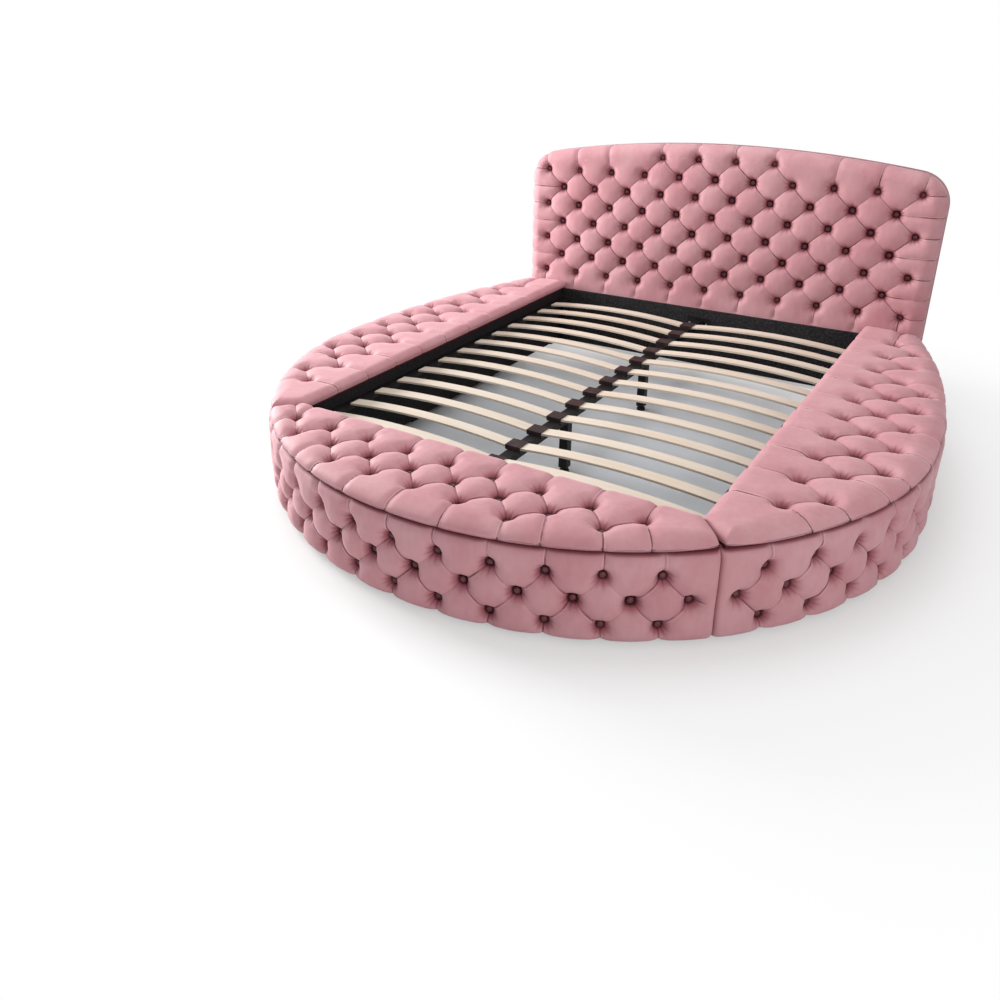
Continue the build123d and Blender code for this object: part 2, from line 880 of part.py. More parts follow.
# Side lids
side_board_plan = side_plan(
    half_well + lid_skirt, lid_drop + lid_skirt, lid_gap + lid_skirt, side_lid_rear + lid_skirt
)
side_pocket_plan = side_plan(
    half_well + lid_skirt - face_gap,
    lid_drop + lid_skirt - face_gap,
    lid_gap + lid_skirt - face_gap,
    side_lid_rear + lid_skirt - face_gap,
)
keep_pair(slab(side_board_plan, rim_height, lid_top_of_board), "lid_board")
side_block = tufted_lid_block(side_alongs, side_acrosses, side_rim_distance, side_lid_place)
keep_pair(lid_cushion(side_lid_outline, side_pocket_plan, side_block), "lid_cushion")
side_buttons = lid_buttons(side_alongs, side_acrosses, side_rim_distance, side_lid_place)
keep_pair(Part(side_buttons), "lid_buttons")

side_batten_x = side_inner_back + batten_gap
side_batten_front = foot_y + side_panel_reach - side_batten_x + batten_end_gap
side_batten_rear = side_rear_panel_y - batten_end_gap
outer_batten_x = sqrt(hollow_radius**2 - outer_batten_half**2)
rear_batten_y = side_rear_panel_y - batten_gap
rear_batten_x = back_arc_x(hollow_drop, rear_batten_y) - batten_end_gap
side_battens = [
    batten(side_batten_x, side_batten_front, side_batten_x + batten_width, side_batten_rear),
    batten(
        outer_batten_x - batten_width,
        centre_y - outer_batten_half,
        outer_batten_x,
        centre_y + outer_batten_half,
    ),
    batten(side_batten_x + batten_end_gap, rear_batten_y - batten_width, rear_batten_x, rear_batten_y),
]
keep_pair(Part([piece.solid() for piece in side_battens]), "lid_battens")

# Bolts through the mitred end panels
corner_bolts = []
bolt_start = joint_gap + panel_thickness
for x, y, z in corner_bolt_places:
    start = (x - bolt_start / root_two, y - bolt_start / root_two, z)
    corner_bolts.append(bolt(start, corner_direction, 2 * bolt_start, True).solid())
with BuildPart() as corner_bolt_set:
    add(corner_bolts)
    mirror(about=Plane.YZ)
keep(corner_bolt_set.part, "corner_bolts")

# Steel rails that carry the outer ends of the slats
rail_front_y = foot_inner_y + joint_gap
rail_rear_y = head_y - joint_gap
with BuildPart() as slat_rail:
    with BuildSketch(Plane.XZ.offset(-rail_rear_y)):
        with BuildLine():
            Polyline(
                (inner_face, rail_top),
                (inner_face - rail_ledge, rail_top),
                (inner_face - rail_ledge, rail_top - steel_thickness),
                (inner_face - steel_thickness, rail_top - steel_thickness),
                (inner_face - steel_thickness, rail_top - rail_drop),
                (inner_face, rail_top - rail_drop),
                close=True,
            )
        make_face()
    extrude(amount=rail_rear_y - rail_front_y)
right_rail = drilled(slat_rail.part, rail_screw_places, (1, 0, 0), screw_radius + bolt_clearance, rail_ledge)
keep_pair(right_rail, "slat_rail")

screws = []
for x, y, z in rail_screw_places:
    screws.append(screw((x - steel_thickness, y, z), (1, 0, 0), steel_thickness).solid())
    screws.append(screw((steel_thickness - x, y, z), (-1, 0, 0), steel_thickness).solid())

# Sprung slats: two rows of bowed boards that meet over the beam
slat_inner_x = clip_web / 2 + face_gap
slat_mid_x = (slat_inner_x + slat_tip_x) / 2
slat_ys = [foot_y + first_slat + k * slat_pitch for k in range(slat_count)]
with BuildPart() as right_slats:
    for y in slat_ys:
        with BuildSketch(Plane.XZ.offset(-y - slat_width / 2)):
            with BuildLine():
                ThreePointArc(
                    (slat_inner_x, slat_end_height),
                    (slat_mid_x, slat_end_height + slat_bow),
                    (slat_tip_x, slat_end_height),
                )
                Line((slat_tip_x, slat_end_height), (slat_tip_x, slat_end_height + slat_thickness))
                ThreePointArc(
                    (slat_tip_x, slat_end_height + slat_thickness),
                    (slat_mid_x, slat_end_height + slat_bow + slat_thickness),
                    (slat_inner_x, slat_end_height + slat_thickness),
                )
                Line((slat_inner_x, slat_end_height + slat_thickness), (slat_inner_x, slat_end_height))
            make_face()
        extrude(amount=slat_width)
keep_pair(right_slats.part, "slats")

# Centre beam, drilled for the screws of its legs
leg_ys = [foot_y + first_slat + share * slat_pitch for share in (leg_first_share, leg_second_share)]
leg_screw_y = leg_plate_length / 2 - leg_screw_inset
beam_front_y = foot_inner_y + steel_thickness + joint_gap
beam_rear_y = head_y - steel_thickness - joint_gap
with BuildPart() as centre_beam:
    with BuildSketch(Plane.XZ.offset(-beam_rear_y)):
        with Locations((0, beam_top - beam_height / 2)):
            Rectangle(beam_width, beam_height)
            Rectangle(beam_width - 2 * beam_wall, beam_height - 2 * beam_wall, mode=Mode.SUBTRACT)
    extrude(amount=beam_rear_y - beam_front_y)
    for y in leg_ys:
        with BuildSketch(Plane.XY.offset(beam_low)):
            with Locations((0, y - leg_screw_y), (0, y + leg_screw_y)):
                Circle(screw_radius + thread_clearance)
        extrude(amount=beam_wall, mode=Mode.SUBTRACT)
keep(centre_beam.part, "centre_beam")

# Double clips: one on the beam under each pair of slats
clip_rise = slat_bow * 4 * (clip_length / 2) / slat_tip_x
clip_top = slat_end_height + slat_thickness + clip_rise + face_gap + clip_roof
clip_width = slat_width + 2 * joint_gap + 2 * clip_wall
with BuildPart() as centre_clips:
    for y in slat_ys:
        with BuildSketch(Plane.XZ.offset(-y - clip_width / 2)):
            with Locations((0, (beam_top + clip_top) / 2)):
                Rectangle(clip_length, clip_top - beam_top)
        extrude(amount=clip_width)
        with BuildSketch(Plane.XZ.offset(-y - slat_width / 2 - joint_gap)):
            pocket_top = clip_top - clip_roof
            pocket_x = (clip_web / 2 + clip_length / 2 + overrun) / 2
            with Locations(
                (pocket_x, (clip_floor + pocket_top) / 2), (-pocket_x, (clip_floor + pocket_top) / 2)
            ):
                Rectangle(clip_length / 2 + overrun - clip_web / 2, pocket_top - clip_floor)
        extrude(amount=slat_width + 2 * joint_gap, mode=Mode.SUBTRACT)
        with BuildSketch(Plane.XZ.offset(-y - clip_width / 4)):
            skirt_x = beam_width / 2 + face_gap + clip_wall / 2
            with Locations((skirt_x, beam_top - clip_skirt / 2), (-skirt_x, beam_top - clip_skirt / 2)):
                Rectangle(clip_wall, clip_skirt)
        extrude(amount=clip_width / 2)
keep(centre_clips.part, "centre_clips")

# Brackets that hang the beam's ends on the foot wall and the head rail
bracket_inner = beam_width + 2 * joint_gap
bracket_outer = bracket_inner + 2 * steel_thickness
bracket_floor = beam_low - joint_gap


def beam_bracket(wall_y, toward):
    """U-shaped saddle on a back plate; toward is +1 where it opens to the head, -1 to the foot."""
    low_y = min(wall_y, wall_y + toward * steel_thickness)
    high_y = max(wall_y, wall_y + toward * steel_thickness)
    shelf_low = min(wall_y, wall_y + toward * bracket_length)
    shelf_high = max(wall_y, wall_y + toward * bracket_length)
    with BuildPart() as bracket:
        with BuildSketch(Plane.XZ.offset(-high_y)):
            with Locations((0, bracket_screw_z - bracket_plate_height / 2 + beam_height)):
                Rectangle(bracket_plate_width, bracket_plate_height)
            with Locations((bracket_screw_x, bracket_screw_z), (-bracket_screw_x, bracket_screw_z)):
                Circle(screw_radius + bolt_clearance, mode=Mode.SUBTRACT)
        extrude(amount=high_y - low_y)
        with BuildSketch(Plane.XZ.offset(-shelf_high)):
            with Locations((0, (bracket_floor - steel_thickness + beam_top) / 2)):
                Rectangle(bracket_outer, beam_top - bracket_floor + steel_thickness)
            with Locations((0, (bracket_floor + beam_top) / 2)):
                Rectangle(bracket_inner, beam_top - bracket_floor, mode=Mode.SUBTRACT)
        extrude(amount=shelf_high - shelf_low)
    return bracket.part


bracket_pair = [beam_bracket(foot_inner_y, 1).solid(), beam_bracket(head_y, -1).solid()]
keep(Part(bracket_pair), "beam_brackets")
for x in (-bracket_screw_x, bracket_screw_x):
    for wall_y, toward in ((foot_inner_y, 1), (head_y, -1)):
        start = (x, wall_y + toward * steel_thickness, bracket_screw_z)
        screws.append(screw(start, (0, -toward, 0), steel_thickness).solid())

# Two legs under the beam, each with a plug and a screwed levelling foot
leg_top = beam_low - steel_thickness
for name, y in zip(("front", "rear"), leg_ys):
    with BuildPart() as leg:
        with BuildSketch(Plane.XY.offset(leg_top)):
            with Locations((0, y)):
                Rectangle(beam_width, leg_plate_length)
            with Locations((0, y - leg_screw_y), (0, y + leg_screw_y)):
                Circle(screw_radius + bolt_clearance, mode=Mode.SUBTRACT)
        extrude(amount=steel_thickness)
        with BuildSketch(Plane.XY.offset(leg_foot_clearance + leg_nut_height)):
            with Locations((0, y)):
                Rectangle(leg_side, leg_side)
                Rectangle(leg_side - 2 * leg_wall, leg_side - 2 * leg_wall, mode=Mode.SUBTRACT)
        extrude(amount=leg_top - leg_foot_clearance - leg_nut_height)
    keep(leg.part, f"{name}_centre_leg")
    for screw_y in (y - leg_screw_y, y + leg_screw_y):
        screws.append(screw((0, screw_y, leg_top), (0, 0, 1), steel_thickness).solid())

    with BuildPart() as plug:
        inside = leg_side - 2 * leg_wall - 2 * face_gap
        plug_low = leg_foot_clearance + leg_nut_height
        with BuildSketch(Plane.XY.offset(plug_low)):
            with Locations((0, y)):
                Rectangle(inside, inside)
                Circle(leg_stud_radius + thread_clearance, mode=Mode.SUBTRACT)
        extrude(amount=leg_plug_height)
    keep(plug.part, f"{name}_leg_plug")

    with BuildPart() as foot:
        with BuildSketch(Plane.XY.offset(0)):
            with Locations((0, y)):
                Circle(leg_foot_radius)
        extrude(amount=leg_foot_height)
        chamfer(foot.edges().group_by(Axis.Z)[-1], length=leg_nut_height / 2)
        with BuildSketch(Plane.XY.offset(leg_foot_height)):
            with Locations((0, y)):
                RegularPolygon(radius=leg_nut_radius, side_count=6)
        extrude(amount=leg_foot_clearance + leg_nut_height - leg_foot_height - face_gap)
        with BuildSketch(Plane.XY.offset(leg_foot_height)):
            with Locations((0, y)):
                Circle(leg_stud_radius)
        extrude(amount=leg_stud_height)
    keep(foot.part, f"{name}_leg_foot")

keep(Part(screws), "steel_screws")

# Head rail between the side benches
head_bolt_places = [
    (x, rear_y, z) for x in (-head_bolt_x, head_bolt_x) for z in (head_bolt_low, head_bolt_high)
]
bracket_screw_places = [(x, head_y, bracket_screw_z) for x in (-bracket_screw_x, bracket_screw_x)]
cleat_shift = 3 * screw_head_radius
cleat_rail_places = [
    (x, head_y, cleat_screw_height + cleat_shift)
    for x in (-inner_face + cleat_side / 2, inner_face - cleat_side / 2)
]
head_rail = strip(
    [
        (-inner_face + joint_gap, head_y),
        (inner_face - joint_gap, head_y),
        (inner_face - joint_gap, rear_y),
        (-inner_face + joint_gap, rear_y),
    ],
    floor_gap,
    rim_height,
)
head_rail = drilled(
    head_rail, head_bolt_places, (0, 1, 0), bolt_radius + bolt_clearance, head_rail_thickness * 2
)
head_rail = drilled(
    head_rail,
    bracket_screw_places + cleat_rail_places,
    (0, 1, 0),
    screw_radius + thread_clearance,
    screw_depth + face_gap,
)
keep(head_rail, "head_rail")

# Square cleats that tie the head rail to the side walls, and their long screws
right_cleat = strip(
    [
        (inner_face - cleat_side, head_y - cleat_side),
        (inner_face, head_y - cleat_side),
        (inner_face, head_y),
        (inner_face - cleat_side, head_y),
    ],
    wall_base,
    cleat_top,
)
right_cleat = drilled(
    right_cleat, cleat_wall_places, (1, 0, 0), screw_radius + bolt_clearance, cleat_side + overrun
)
right_cleat = drilled(
    right_cleat, cleat_rail_places, (0, 1, 0), screw_radius + bolt_clearance, cleat_side + overrun
)
keep(Part([right_cleat.solid(), mirror(right_cleat, about=Plane.YZ).solid()]), "head_rail_cleats")

cleat_screws = []
for x, y, z in cleat_wall_places:
    for side in (-1, 1):
        start = (side * (x - cleat_side), y, z)
        cleat_screws.append(screw(start, (side, 0, 0), cleat_side).solid())
for x, y, z in cleat_rail_places:
    cleat_screws.append(screw((x, y - cleat_side, z), (0, 1, 0), cleat_side).solid())
keep(Part(cleat_screws), "cleat_screws")

# Headboard: cushion, ply panel, timber frame and a cloth back that wraps the edges
cushion_front = rear_y + joint_gap
cushion_back = cushion_front + headboard_cushion_thickness
panel_front = cushion_back + face_gap
frame_front = panel_front + headboard_panel_thickness
frame_back = frame_front + headboard_post_thickness
back_cover_rear = frame_back + face_gap + headboard_back_thickness
border = headboard_back_thickness + face_gap


def headboard_outline(inset, low):
    """Elevation of the headboard, set in at the sides and the arched top."""
    half = half_headboard - inset
    with BuildSketch() as outline:
        with BuildLine():
            Line((-half, low), (half, low))
            Line((half, low), (half, headboard_shoulder - inset))
            ThreePointArc(
                (half, headboard_shoulder - inset),
                (0, headboard_height - inset),
                (-half, headboard_shoulder - inset),
            )
            Line((-half, headboard_shoulder - inset), (-half, low))
        make_face()
        shoulders = [v for v in outline.vertices() if v.Y > headboard_plain_height]
        fillet(shoulders, radius=headboard_corner - inset)
    return outline.sketch


def upright(outline, near, far):
    """The outline as a board that stands between two distances along the bed."""
    with BuildPart() as board:
        with BuildSketch(Plane.XZ.offset(-far)):
            add(outline)
        extrude(amount=far - near)
    return board.part


def headboard_arch():
    """Radius of the headboard's arched top and the height of its centre."""
    rise = headboard_height - headboard_shoulder
    radius = (half_headboard**2 + rise**2) / (2 * rise)
    return radius, headboard_height - radius


def headboard_rim_distance(across, height):
    """Least distance from a place on the headboard's face to its sides and top."""
    radius, middle = headboard_arch()
    return min(radius - hypot(across, height - middle), half_headboard - abs(across))


def headboard_share(u, v, across, height):
    """Depth of the headboard's tufting, plain below the lowest pleats."""
    if height < headboard_plain_height:
        return 0
    share = straight_pleat_share(u) * pleat_share if v < 0 else lattice_share(u, v)
    return share * fade(headboard_rim_distance(across, height))


headboard_columns = lid_numbers(0, headboard_pitch / 4, -half_headboard, half_headboard)
headboard_rows = lid_numbers(headboard_lowest_row, headboard_row_pitch / 2, 0, headboard_height)


def headboard_front(i, j):
    u, across = headboard_columns[i]
    v, height = headboard_rows[j]
    share = headboard_share(u, v, across, height)
    return (across, cushion_front + share * headboard_tuft_depth, height)


def headboard_rear(i, j):
    return (headboard_columns[i][1], cushion_back + overrun, headboard_rows[j][1])


headboard_block = faceted(
    [n[0] for n in headboard_columns], [n[0] for n in headboard_rows], headboard_front, headboard_rear
)


def headboard_ring(inset):
    """The headboard's elevation with straight runs round its corners and top, drawn in all round."""
    half, corner = half_headboard - inset, headboard_corner - inset
    arch_radius, arch_middle = headboard_arch()
    corner_x = half - corner
    corner_z = arch_middle + sqrt((arch_radius - headboard_corner) ** 2 - corner_x**2)
    meet = atan2(corner_z - arch_middle, corner_x)
    right = []
    for k in range(corner_runs + 1):
        turn = meet * k / corner_runs
        right.append((corner_x + corner * cos(turn), corner_z + corner * sin(turn)))
    for k in range(1, arch_runs + 1):
        turn = meet + (pi / 2 - meet) * k / arch_runs
        reach = arch_radius - inset
        right.append((reach * cos(turn), arch_middle + reach * sin(turn)))
    left = [(-x, z) for x, z in right[-2::-1]]
    return [(-half, floor_gap + inset), (half, floor_gap + inset)] + right + left


with BuildPart() as headboard_pad:
    add(
        rolled(
            headboard_ring,
            lambda point, y: (point[0], y, point[1]),
            (cushion_back, cushion_front + headboard_roll, cushion_front),
        )
    )
    add(headboard_block, mode=Mode.INTERSECT)
headboard_cushion = drilled(
    headboard_pad.part,
    head_bolt_places,
    (0, 1, 0),
    bolt_radius + bolt_clearance,
    headboard_cushion_thickness + overrun,
)
keep(headboard_cushion, "headboard_cushion")

headboard_pieces = []
for u, across in headboard_columns:
    for v, height in headboard_rows:
        lattice = u % 4 == v % 4 and v % 2 == 0 and v >= 0
        if lattice and headboard_rim_distance(across, height) >= lid_button_fade_far:
            seat = (across, cushion_front + headboard_tuft_depth, height)
            headboard_pieces.append(button(seat, (0, -1, 0), 4 * headboard_tuft_depth / headboard_pitch))
keep(Part(headboard_pieces), "headboard_buttons")

headboard_panel = drilled(
    upright(headboard_outline(border, floor_gap), panel_front, frame_front),
    [(x, panel_front, z) for x, y, z in head_bolt_places],
    (0, 1, 0),
    bolt_radius + bolt_clearance,
    headboard_panel_thickness * 2,
)
keep(headboard_panel, "headboard_panel")

# Timber frame: two rails with posts between them
frame_half = half_headboard - border - frame_side_inset
frame_posts = []
for x in (-frame_half + frame_timber / 2, -head_bolt_x, -frame_inner_post_x):
    for side_x in (x, -x):
        corners = [
            (side_x - frame_timber / 2, frame_front),
            (side_x + frame_timber / 2, frame_front),
            (side_x + frame_timber / 2, frame_back),
            (side_x - frame_timber / 2, frame_back),
        ]
        frame_posts.append(strip(corners, floor_gap + frame_timber, frame_top - frame_timber))
rail_corners = [
    (-frame_half, frame_front),
    (frame_half, frame_front),
    (frame_half, frame_back),
    (-frame_half, frame_back),
]
frame_rails = [
    strip(rail_corners, floor_gap, floor_gap + frame_timber),
    strip(rail_corners, frame_top - frame_timber, frame_top),
]
bolt_grip = headboard_post_thickness * frame_grip_share
drilled_posts = [
    drilled(
        post,
        [(x, frame_front, z) for x, y, z in head_bolt_places],
        (0, 1, 0),
        bolt_radius + thread_clearance,
        bolt_grip + face_gap,
    ).solid()
    for post in frame_posts
]
keep(Part(drilled_posts + [piece.solid() for piece in frame_rails]), "headboard_frame")

with BuildPart() as headboard_back:
    add(upright(headboard_outline(0, floor_gap), panel_front, back_cover_rear))
    add(
        upright(
            headboard_outline(border - face_gap, floor_gap - overrun),
            panel_front - overrun,
            frame_back + face_gap,
        ),
        mode=Mode.SUBTRACT,
    )
keep(headboard_back.part, "headboard_back")

headboard_glides = [
    glide(x, (frame_front + frame_back) / 2, headboard_glide_side)
    for x in (-head_bolt_x, -frame_inner_post_x, frame_inner_post_x, head_bolt_x)
]
keep(Part(headboard_glides), "headboard_glides")

headboard_bolts = [
    bolt((x, head_y, z), (0, 1, 0), frame_front + bolt_grip - head_y, False).solid()
    for x, y, z in head_bolt_places
]
keep(Part(headboard_bolts), "headboard_bolts")
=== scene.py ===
# %% [markdown]
# # A round storage bed in deep-buttoned velvet
#
# The bed is a ring of three upholstered benches round a slatted well. The rigid pieces come from
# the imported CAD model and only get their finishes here. The velvet is built anew, because its look
# lies in the folds, which are much finer than the solids. Lengths below are in millimetres and
# turn into Blender's metres when a mesh is made.

# %% Load the fixed frame
from math import asin, atan2, cos, hypot, pi, radians, sin, sqrt

import bpy
import numpy as np
from mathutils import Matrix, Vector
from mathutils.geometry import delaunay_2d_cdt


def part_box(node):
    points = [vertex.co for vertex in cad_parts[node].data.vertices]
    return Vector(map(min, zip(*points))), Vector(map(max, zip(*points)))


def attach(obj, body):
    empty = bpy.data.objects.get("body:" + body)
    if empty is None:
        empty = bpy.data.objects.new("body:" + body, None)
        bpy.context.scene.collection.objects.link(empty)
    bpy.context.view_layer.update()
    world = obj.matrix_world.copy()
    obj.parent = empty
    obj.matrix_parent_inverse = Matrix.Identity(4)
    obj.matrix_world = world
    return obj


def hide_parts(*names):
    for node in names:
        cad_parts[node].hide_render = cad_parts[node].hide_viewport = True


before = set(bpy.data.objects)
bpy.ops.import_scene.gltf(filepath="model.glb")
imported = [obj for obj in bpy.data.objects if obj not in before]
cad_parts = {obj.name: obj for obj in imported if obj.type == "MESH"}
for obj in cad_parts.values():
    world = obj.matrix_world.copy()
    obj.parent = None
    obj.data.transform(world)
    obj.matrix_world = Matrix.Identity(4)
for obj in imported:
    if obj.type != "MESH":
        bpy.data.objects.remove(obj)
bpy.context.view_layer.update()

MM = 0.001
scene = bpy.context.scene

# %% [markdown]
# ## The plan of the bed
#
# Every curved piece follows one circle, and behind its widest line a gentler arc that touches it
# there. The benches meet in 45 degree mitres that start at the corners of the mattress well. The
# main sizes are read off the CAD nodes, so the velvet always sits where its solid is.

# %% Main sizes
bed_radius = 1245.0
cover_thickness = 50.0
lid_overhang = 5.0
lid_gap = 2.0
joint_gap = 0.5
seam_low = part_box("foot_bench_cover")[1].z / MM
seam_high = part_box("foot_lid_cushion")[0].z / MM
cover_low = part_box("foot_bench_cover")[0].z / MM
lid_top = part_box("foot_lid_cushion")[1].z / MM
foot_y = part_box("foot_lid_cushion")[1].y / MM
half_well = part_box("right_lid_cushion")[0].x / MM
rear_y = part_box("right_bench_cover")[1].y / MM + joint_gap
centre_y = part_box("foot_bench_cover")[0].y / MM + bed_radius
half_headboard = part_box("headboard_cushion")[1].x / MM
narrowing = bed_radius - half_headboard
back_radius = ((rear_y - centre_y) ** 2 + narrowing**2) / (2 * narrowing)
back_centre_x = bed_radius - back_radius
print("circle centre y", round(centre_y, 1), "foot y", round(foot_y, 1), "rear y", round(rear_y, 1))


# %% Where the circle meets the mitres
def mitre_point(drop, reach):
    """Where the circle, moved in by drop, meets the mitre line x + (y - foot_y) = reach."""
    radius = bed_radius - drop
    offset = reach - (centre_y - foot_y)
    x = (offset + sqrt(2 * radius**2 - offset**2)) / 2
    return x, foot_y + reach - x


# %% [markdown]
# ## How deep buttoning is drawn
#
# A button pulls the velvet into a deep pit. Between neighbouring buttons the cloth folds into a
# crease, steep where the fold tucks under and gentle on its other side, and the foam swells
# between the creases. So the surface is described as how far each place sinks below the crown: a
# list of folds, each a straight line between two buttons, and a list of pits. This way was chosen
# over a displacement texture because the same lists also place the buttons and the straight
# pleats that run to an edge.


# %% Depth of folds and pits
def smooth(value):
    """0 to 1 with soft ends."""
    value = np.clip(value, 0, 1)
    return value * value * (3 - 2 * value)


def fold(start, end, pits, middle, reach, lean, line):
    """One crease: its ends, its depth at them and in the middle, its half-width, its steep side and
    how strongly its line of painted shade and the painted highlight beside it show."""
    return dict(start=start, end=end, pits=pits, middle=middle, reach=reach, lean=lean, line=line)


def along_fold(places, crease, margin):
    """The places near a crease, how far along it each is, and how far to its left."""
    a, b = np.array(crease["start"], float), np.array(crease["end"], float)
    low, high = np.minimum(a, b) - margin, np.maximum(a, b) + margin
    near = np.flatnonzero(np.all((places > low) & (places < high), axis=1))
    run = (b - a) / np.hypot(*(b - a))
    away = places[near] - a
    return near, away @ run, away @ np.array((-run[1], run[0])), float(np.hypot(*(b - a)))


blend, decay = 2.4, 18.0
seat_radius, funnel, dome = 8.0, 46.0, 96.0


def sunk(places, folds, pits):
    """How far each place lies below the crown. A pit is flat under its button, then a wide funnel."""
    total = np.zeros(len(places))
    for crease in folds:
        reach = crease["reach"]
        near, along, left, length = along_fold(places, crease, reach)
        beyond = np.maximum(np.maximum(-along, along - length), 0)
        x = np.clip(np.hypot(left, beyond) / reach, 0, 1)
        steep = 1 - np.sqrt(x * (2 - x))
        gentle = (1 - x) ** 2
        share = np.where(left * crease["lean"] > 0, 0.7 * steep + 0.3 * gentle, 0.35 * steep + 0.65 * gentle)
        along = np.clip(along, 0, length)
        first = (crease["pits"][0] - crease["middle"]) * np.exp(-along / decay)
        second = (crease["pits"][1] - crease["middle"]) * np.exp(-(length - along) / decay)
        total[near] += ((crease["middle"] + first + second) * share) ** blend
    for x, y, deep in pits:
        far = np.hypot(places[:, 0] - x, places[:, 1] - y)
        slope = np.clip(1 - np.maximum(far - seat_radius, 0) / funnel, 0, 1)
        wide = np.clip(1 - far / dome, 0, 1)
        total += (deep * (0.45 * slope**1.9 + 0.35 * slope**4 + 0.2 * wide**1.5)) ** blend
    return np.minimum(total ** (1 / blend), max([deep for _, _, deep in pits] + [1.0]))


# %% Marks that the velvet reads
far_away, line_reach = 1e9, 20.0


def marks(places, folds, pits):
    """Offset to the nearest button and its nearness; side of the nearest crease and its strength."""
    best, offset = np.full(len(places), far_away), np.full((len(places), 2), 200.0)
    for x, y, _ in pits:
        away = places - (x, y)
        far = np.hypot(*away.T)
        closer = far < best
        best[closer], offset[closer] = far[closer], away[closer]
    close = smooth((45 - best) / 24)
    line, edge = np.full(len(places), 2 * line_reach), np.zeros(len(places))
    nearest = np.full(len(places), far_away)
    for crease in folds:
        near, along, left, length = along_fold(places, crease, line_reach)
        inside = (along > -4) & (along < length + 4)
        closer = inside & (np.abs(left) < nearest[near])
        hit = near[closer]
        nearest[hit] = np.abs(left[closer])
        line[hit] = left[closer] * crease["lean"]
        fade = smooth(np.minimum(along, length - along)[closer] / 18 - 0.35)
        edge[hit] = smooth((16 - nearest[hit]) / 8) * fade * crease["line"]
    return np.column_stack((offset, close)), np.column_stack((line, edge, np.zeros(len(places))))


def wander(places, size, seed):
    """A smooth, repeatable unevenness between -1 and 1, for hand-made irregularity."""
    value = np.zeros(len(places))
    for k in range(4):
        turn = seed * 1.7 + k * 2.4
        wave = 2 * pi / (size * (1 + 0.35 * k))
        value += np.sin(wave * (places[:, 0] * cos(turn) + places[:, 1] * sin(turn)) + seed * 3.1 + k * 1.3)
    return value / 4


# %% [markdown]
# ## Turning points into pieces
#
# Each piece is one closed mesh. It is written in millimetres in the bed's own frame, shaded
# smooth, and carries three attributes for its material: how deep each place lies, with bands by
# the seams added, which paints shade into the pits and along the seams; where the nearest button
# is, which draws the small fan of creases round it with painted shade in them; and where the
# nearest fold runs, which draws its fine line of painted shade and a painted highlight beside it.


# %% Make one piece
def turned_out(points, faces):
    """The faces, all flipped if the closed mesh they make is inside out."""
    points = np.asarray(points, float)
    fan_folds_and_shade = [(face[0], face[k], face[k + 1]) for face in faces for k in range(1, len(face) - 1)]
    first, second, third = (points[[fan[k] for fan in fan_folds_and_shade]] for k in range(3))
    volume = np.einsum("ij,ij->i", first, np.cross(second, third)).sum() / 6
    return faces if volume > 0 else [face[::-1] for face in faces]


def piece(name, points, faces, body, deep=None, notes=None):
    """A closed mesh object in the bed's frame that rides on a body."""
    mesh = bpy.data.meshes.new(name)
    mesh.from_pydata((np.asarray(points) * MM).tolist(), [], turned_out(points, faces))
    mesh.shade_smooth()
    # The depth share, with the seam bands added, feeds the painted shade of the pits and seams.
    if deep is not None:
        shares = mesh.attributes.new("sunk_share", "FLOAT", "POINT")
        shares.data.foreach_set("value", np.asarray(deep, np.float32))
    for name_of_mark, values in zip(("button_mark", "crease_mark"), notes or ()):
        mark = mesh.attributes.new(name_of_mark, "FLOAT_VECTOR", "POINT")
        mark.data.foreach_set("vector", np.asarray(values, np.float32).ravel())
    thing = bpy.data.objects.new(name, mesh)
    scene.collection.objects.link(thing)
    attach(thing, body)
    return thing


def leans_up(u, v, start):
    """Whether the nearest crease to a lattice place runs up to the right."""
    rising = abs((u - v - start + 2) % 4 - 2)
    falling = abs((u + v - start + 2) % 4 - 2)
    return rising < falling


# %% [markdown]
# ## The tufted walls
#
# A wall is a strip that bends round the plan. Its grid lines are a whole number of steps from
# button to button, and each cell is split along the nearest crease, so the folds stay crisp. As in
# the photograph, there are three staggered rows of buttons, straight pleats up to the lid seam and
# down to the hem, and plain rounded ends with one short pleat.

# %% Sizes of the walls' buttoning
foot_wall_pitch = 164.5
usual_pitch = 160.0
wall_row_pitch = 80.0
wall_lowest_row = 63.5
wall_margin = 71.0
least_margin = 50.0
steps_per_quarter = 8
wall_pit = 43.0
wall_crease = 16.0
wall_pleat = 12.0
wall_reach = 60.0
pleat_reach = 40.0
end_pleat, end_pleat_reach = 8.0, 34.0
past_edge = 20.0
top_roll, hem_roll, upright_roll = (26.0, 34.0), (20.0, 34.0), (18.0, 26.0)
fullest = 6.0
lid_button_sink = 3.0
foot_reach = half_well - sqrt(2) * joint_gap
side_reach = half_well + sqrt(2) * joint_gap


# %% Where the foot and side walls run
foot_corner = mitre_point(0, foot_reach)
foot_half_angle = atan2(foot_corner[0], centre_y - foot_corner[1])
side_corner = mitre_point(0, side_reach)
side_start_angle = atan2(side_corner[1] - centre_y, side_corner[0])
side_end_y = rear_y - joint_gap
side_round_length = -side_start_angle * bed_radius
side_length = side_round_length + asin((side_end_y - centre_y) / back_radius) * back_radius


def foot_wall_place(along, depth):
    """Plan point of the foot wall at a distance along it, set in by depth."""
    angle = along / bed_radius - foot_half_angle
    reach = bed_radius - depth
    return np.stack((reach * np.sin(angle), centre_y - reach * np.cos(angle)), axis=1)


def side_wall_place(along, depth):
    """Plan point of the right wall at a distance along it, set in by depth."""
    round_angle = side_start_angle + along / bed_radius
    back_angle = (along - side_round_length) / back_radius
    on_circle = along < side_round_length
    angle = np.where(on_circle, round_angle, back_angle)
    reach = np.where(on_circle, bed_radius, back_radius) - depth
    middle = np.where(on_circle, 0, back_centre_x)
    return np.stack((middle + reach * np.cos(angle), centre_y + reach * np.sin(angle)), axis=1)


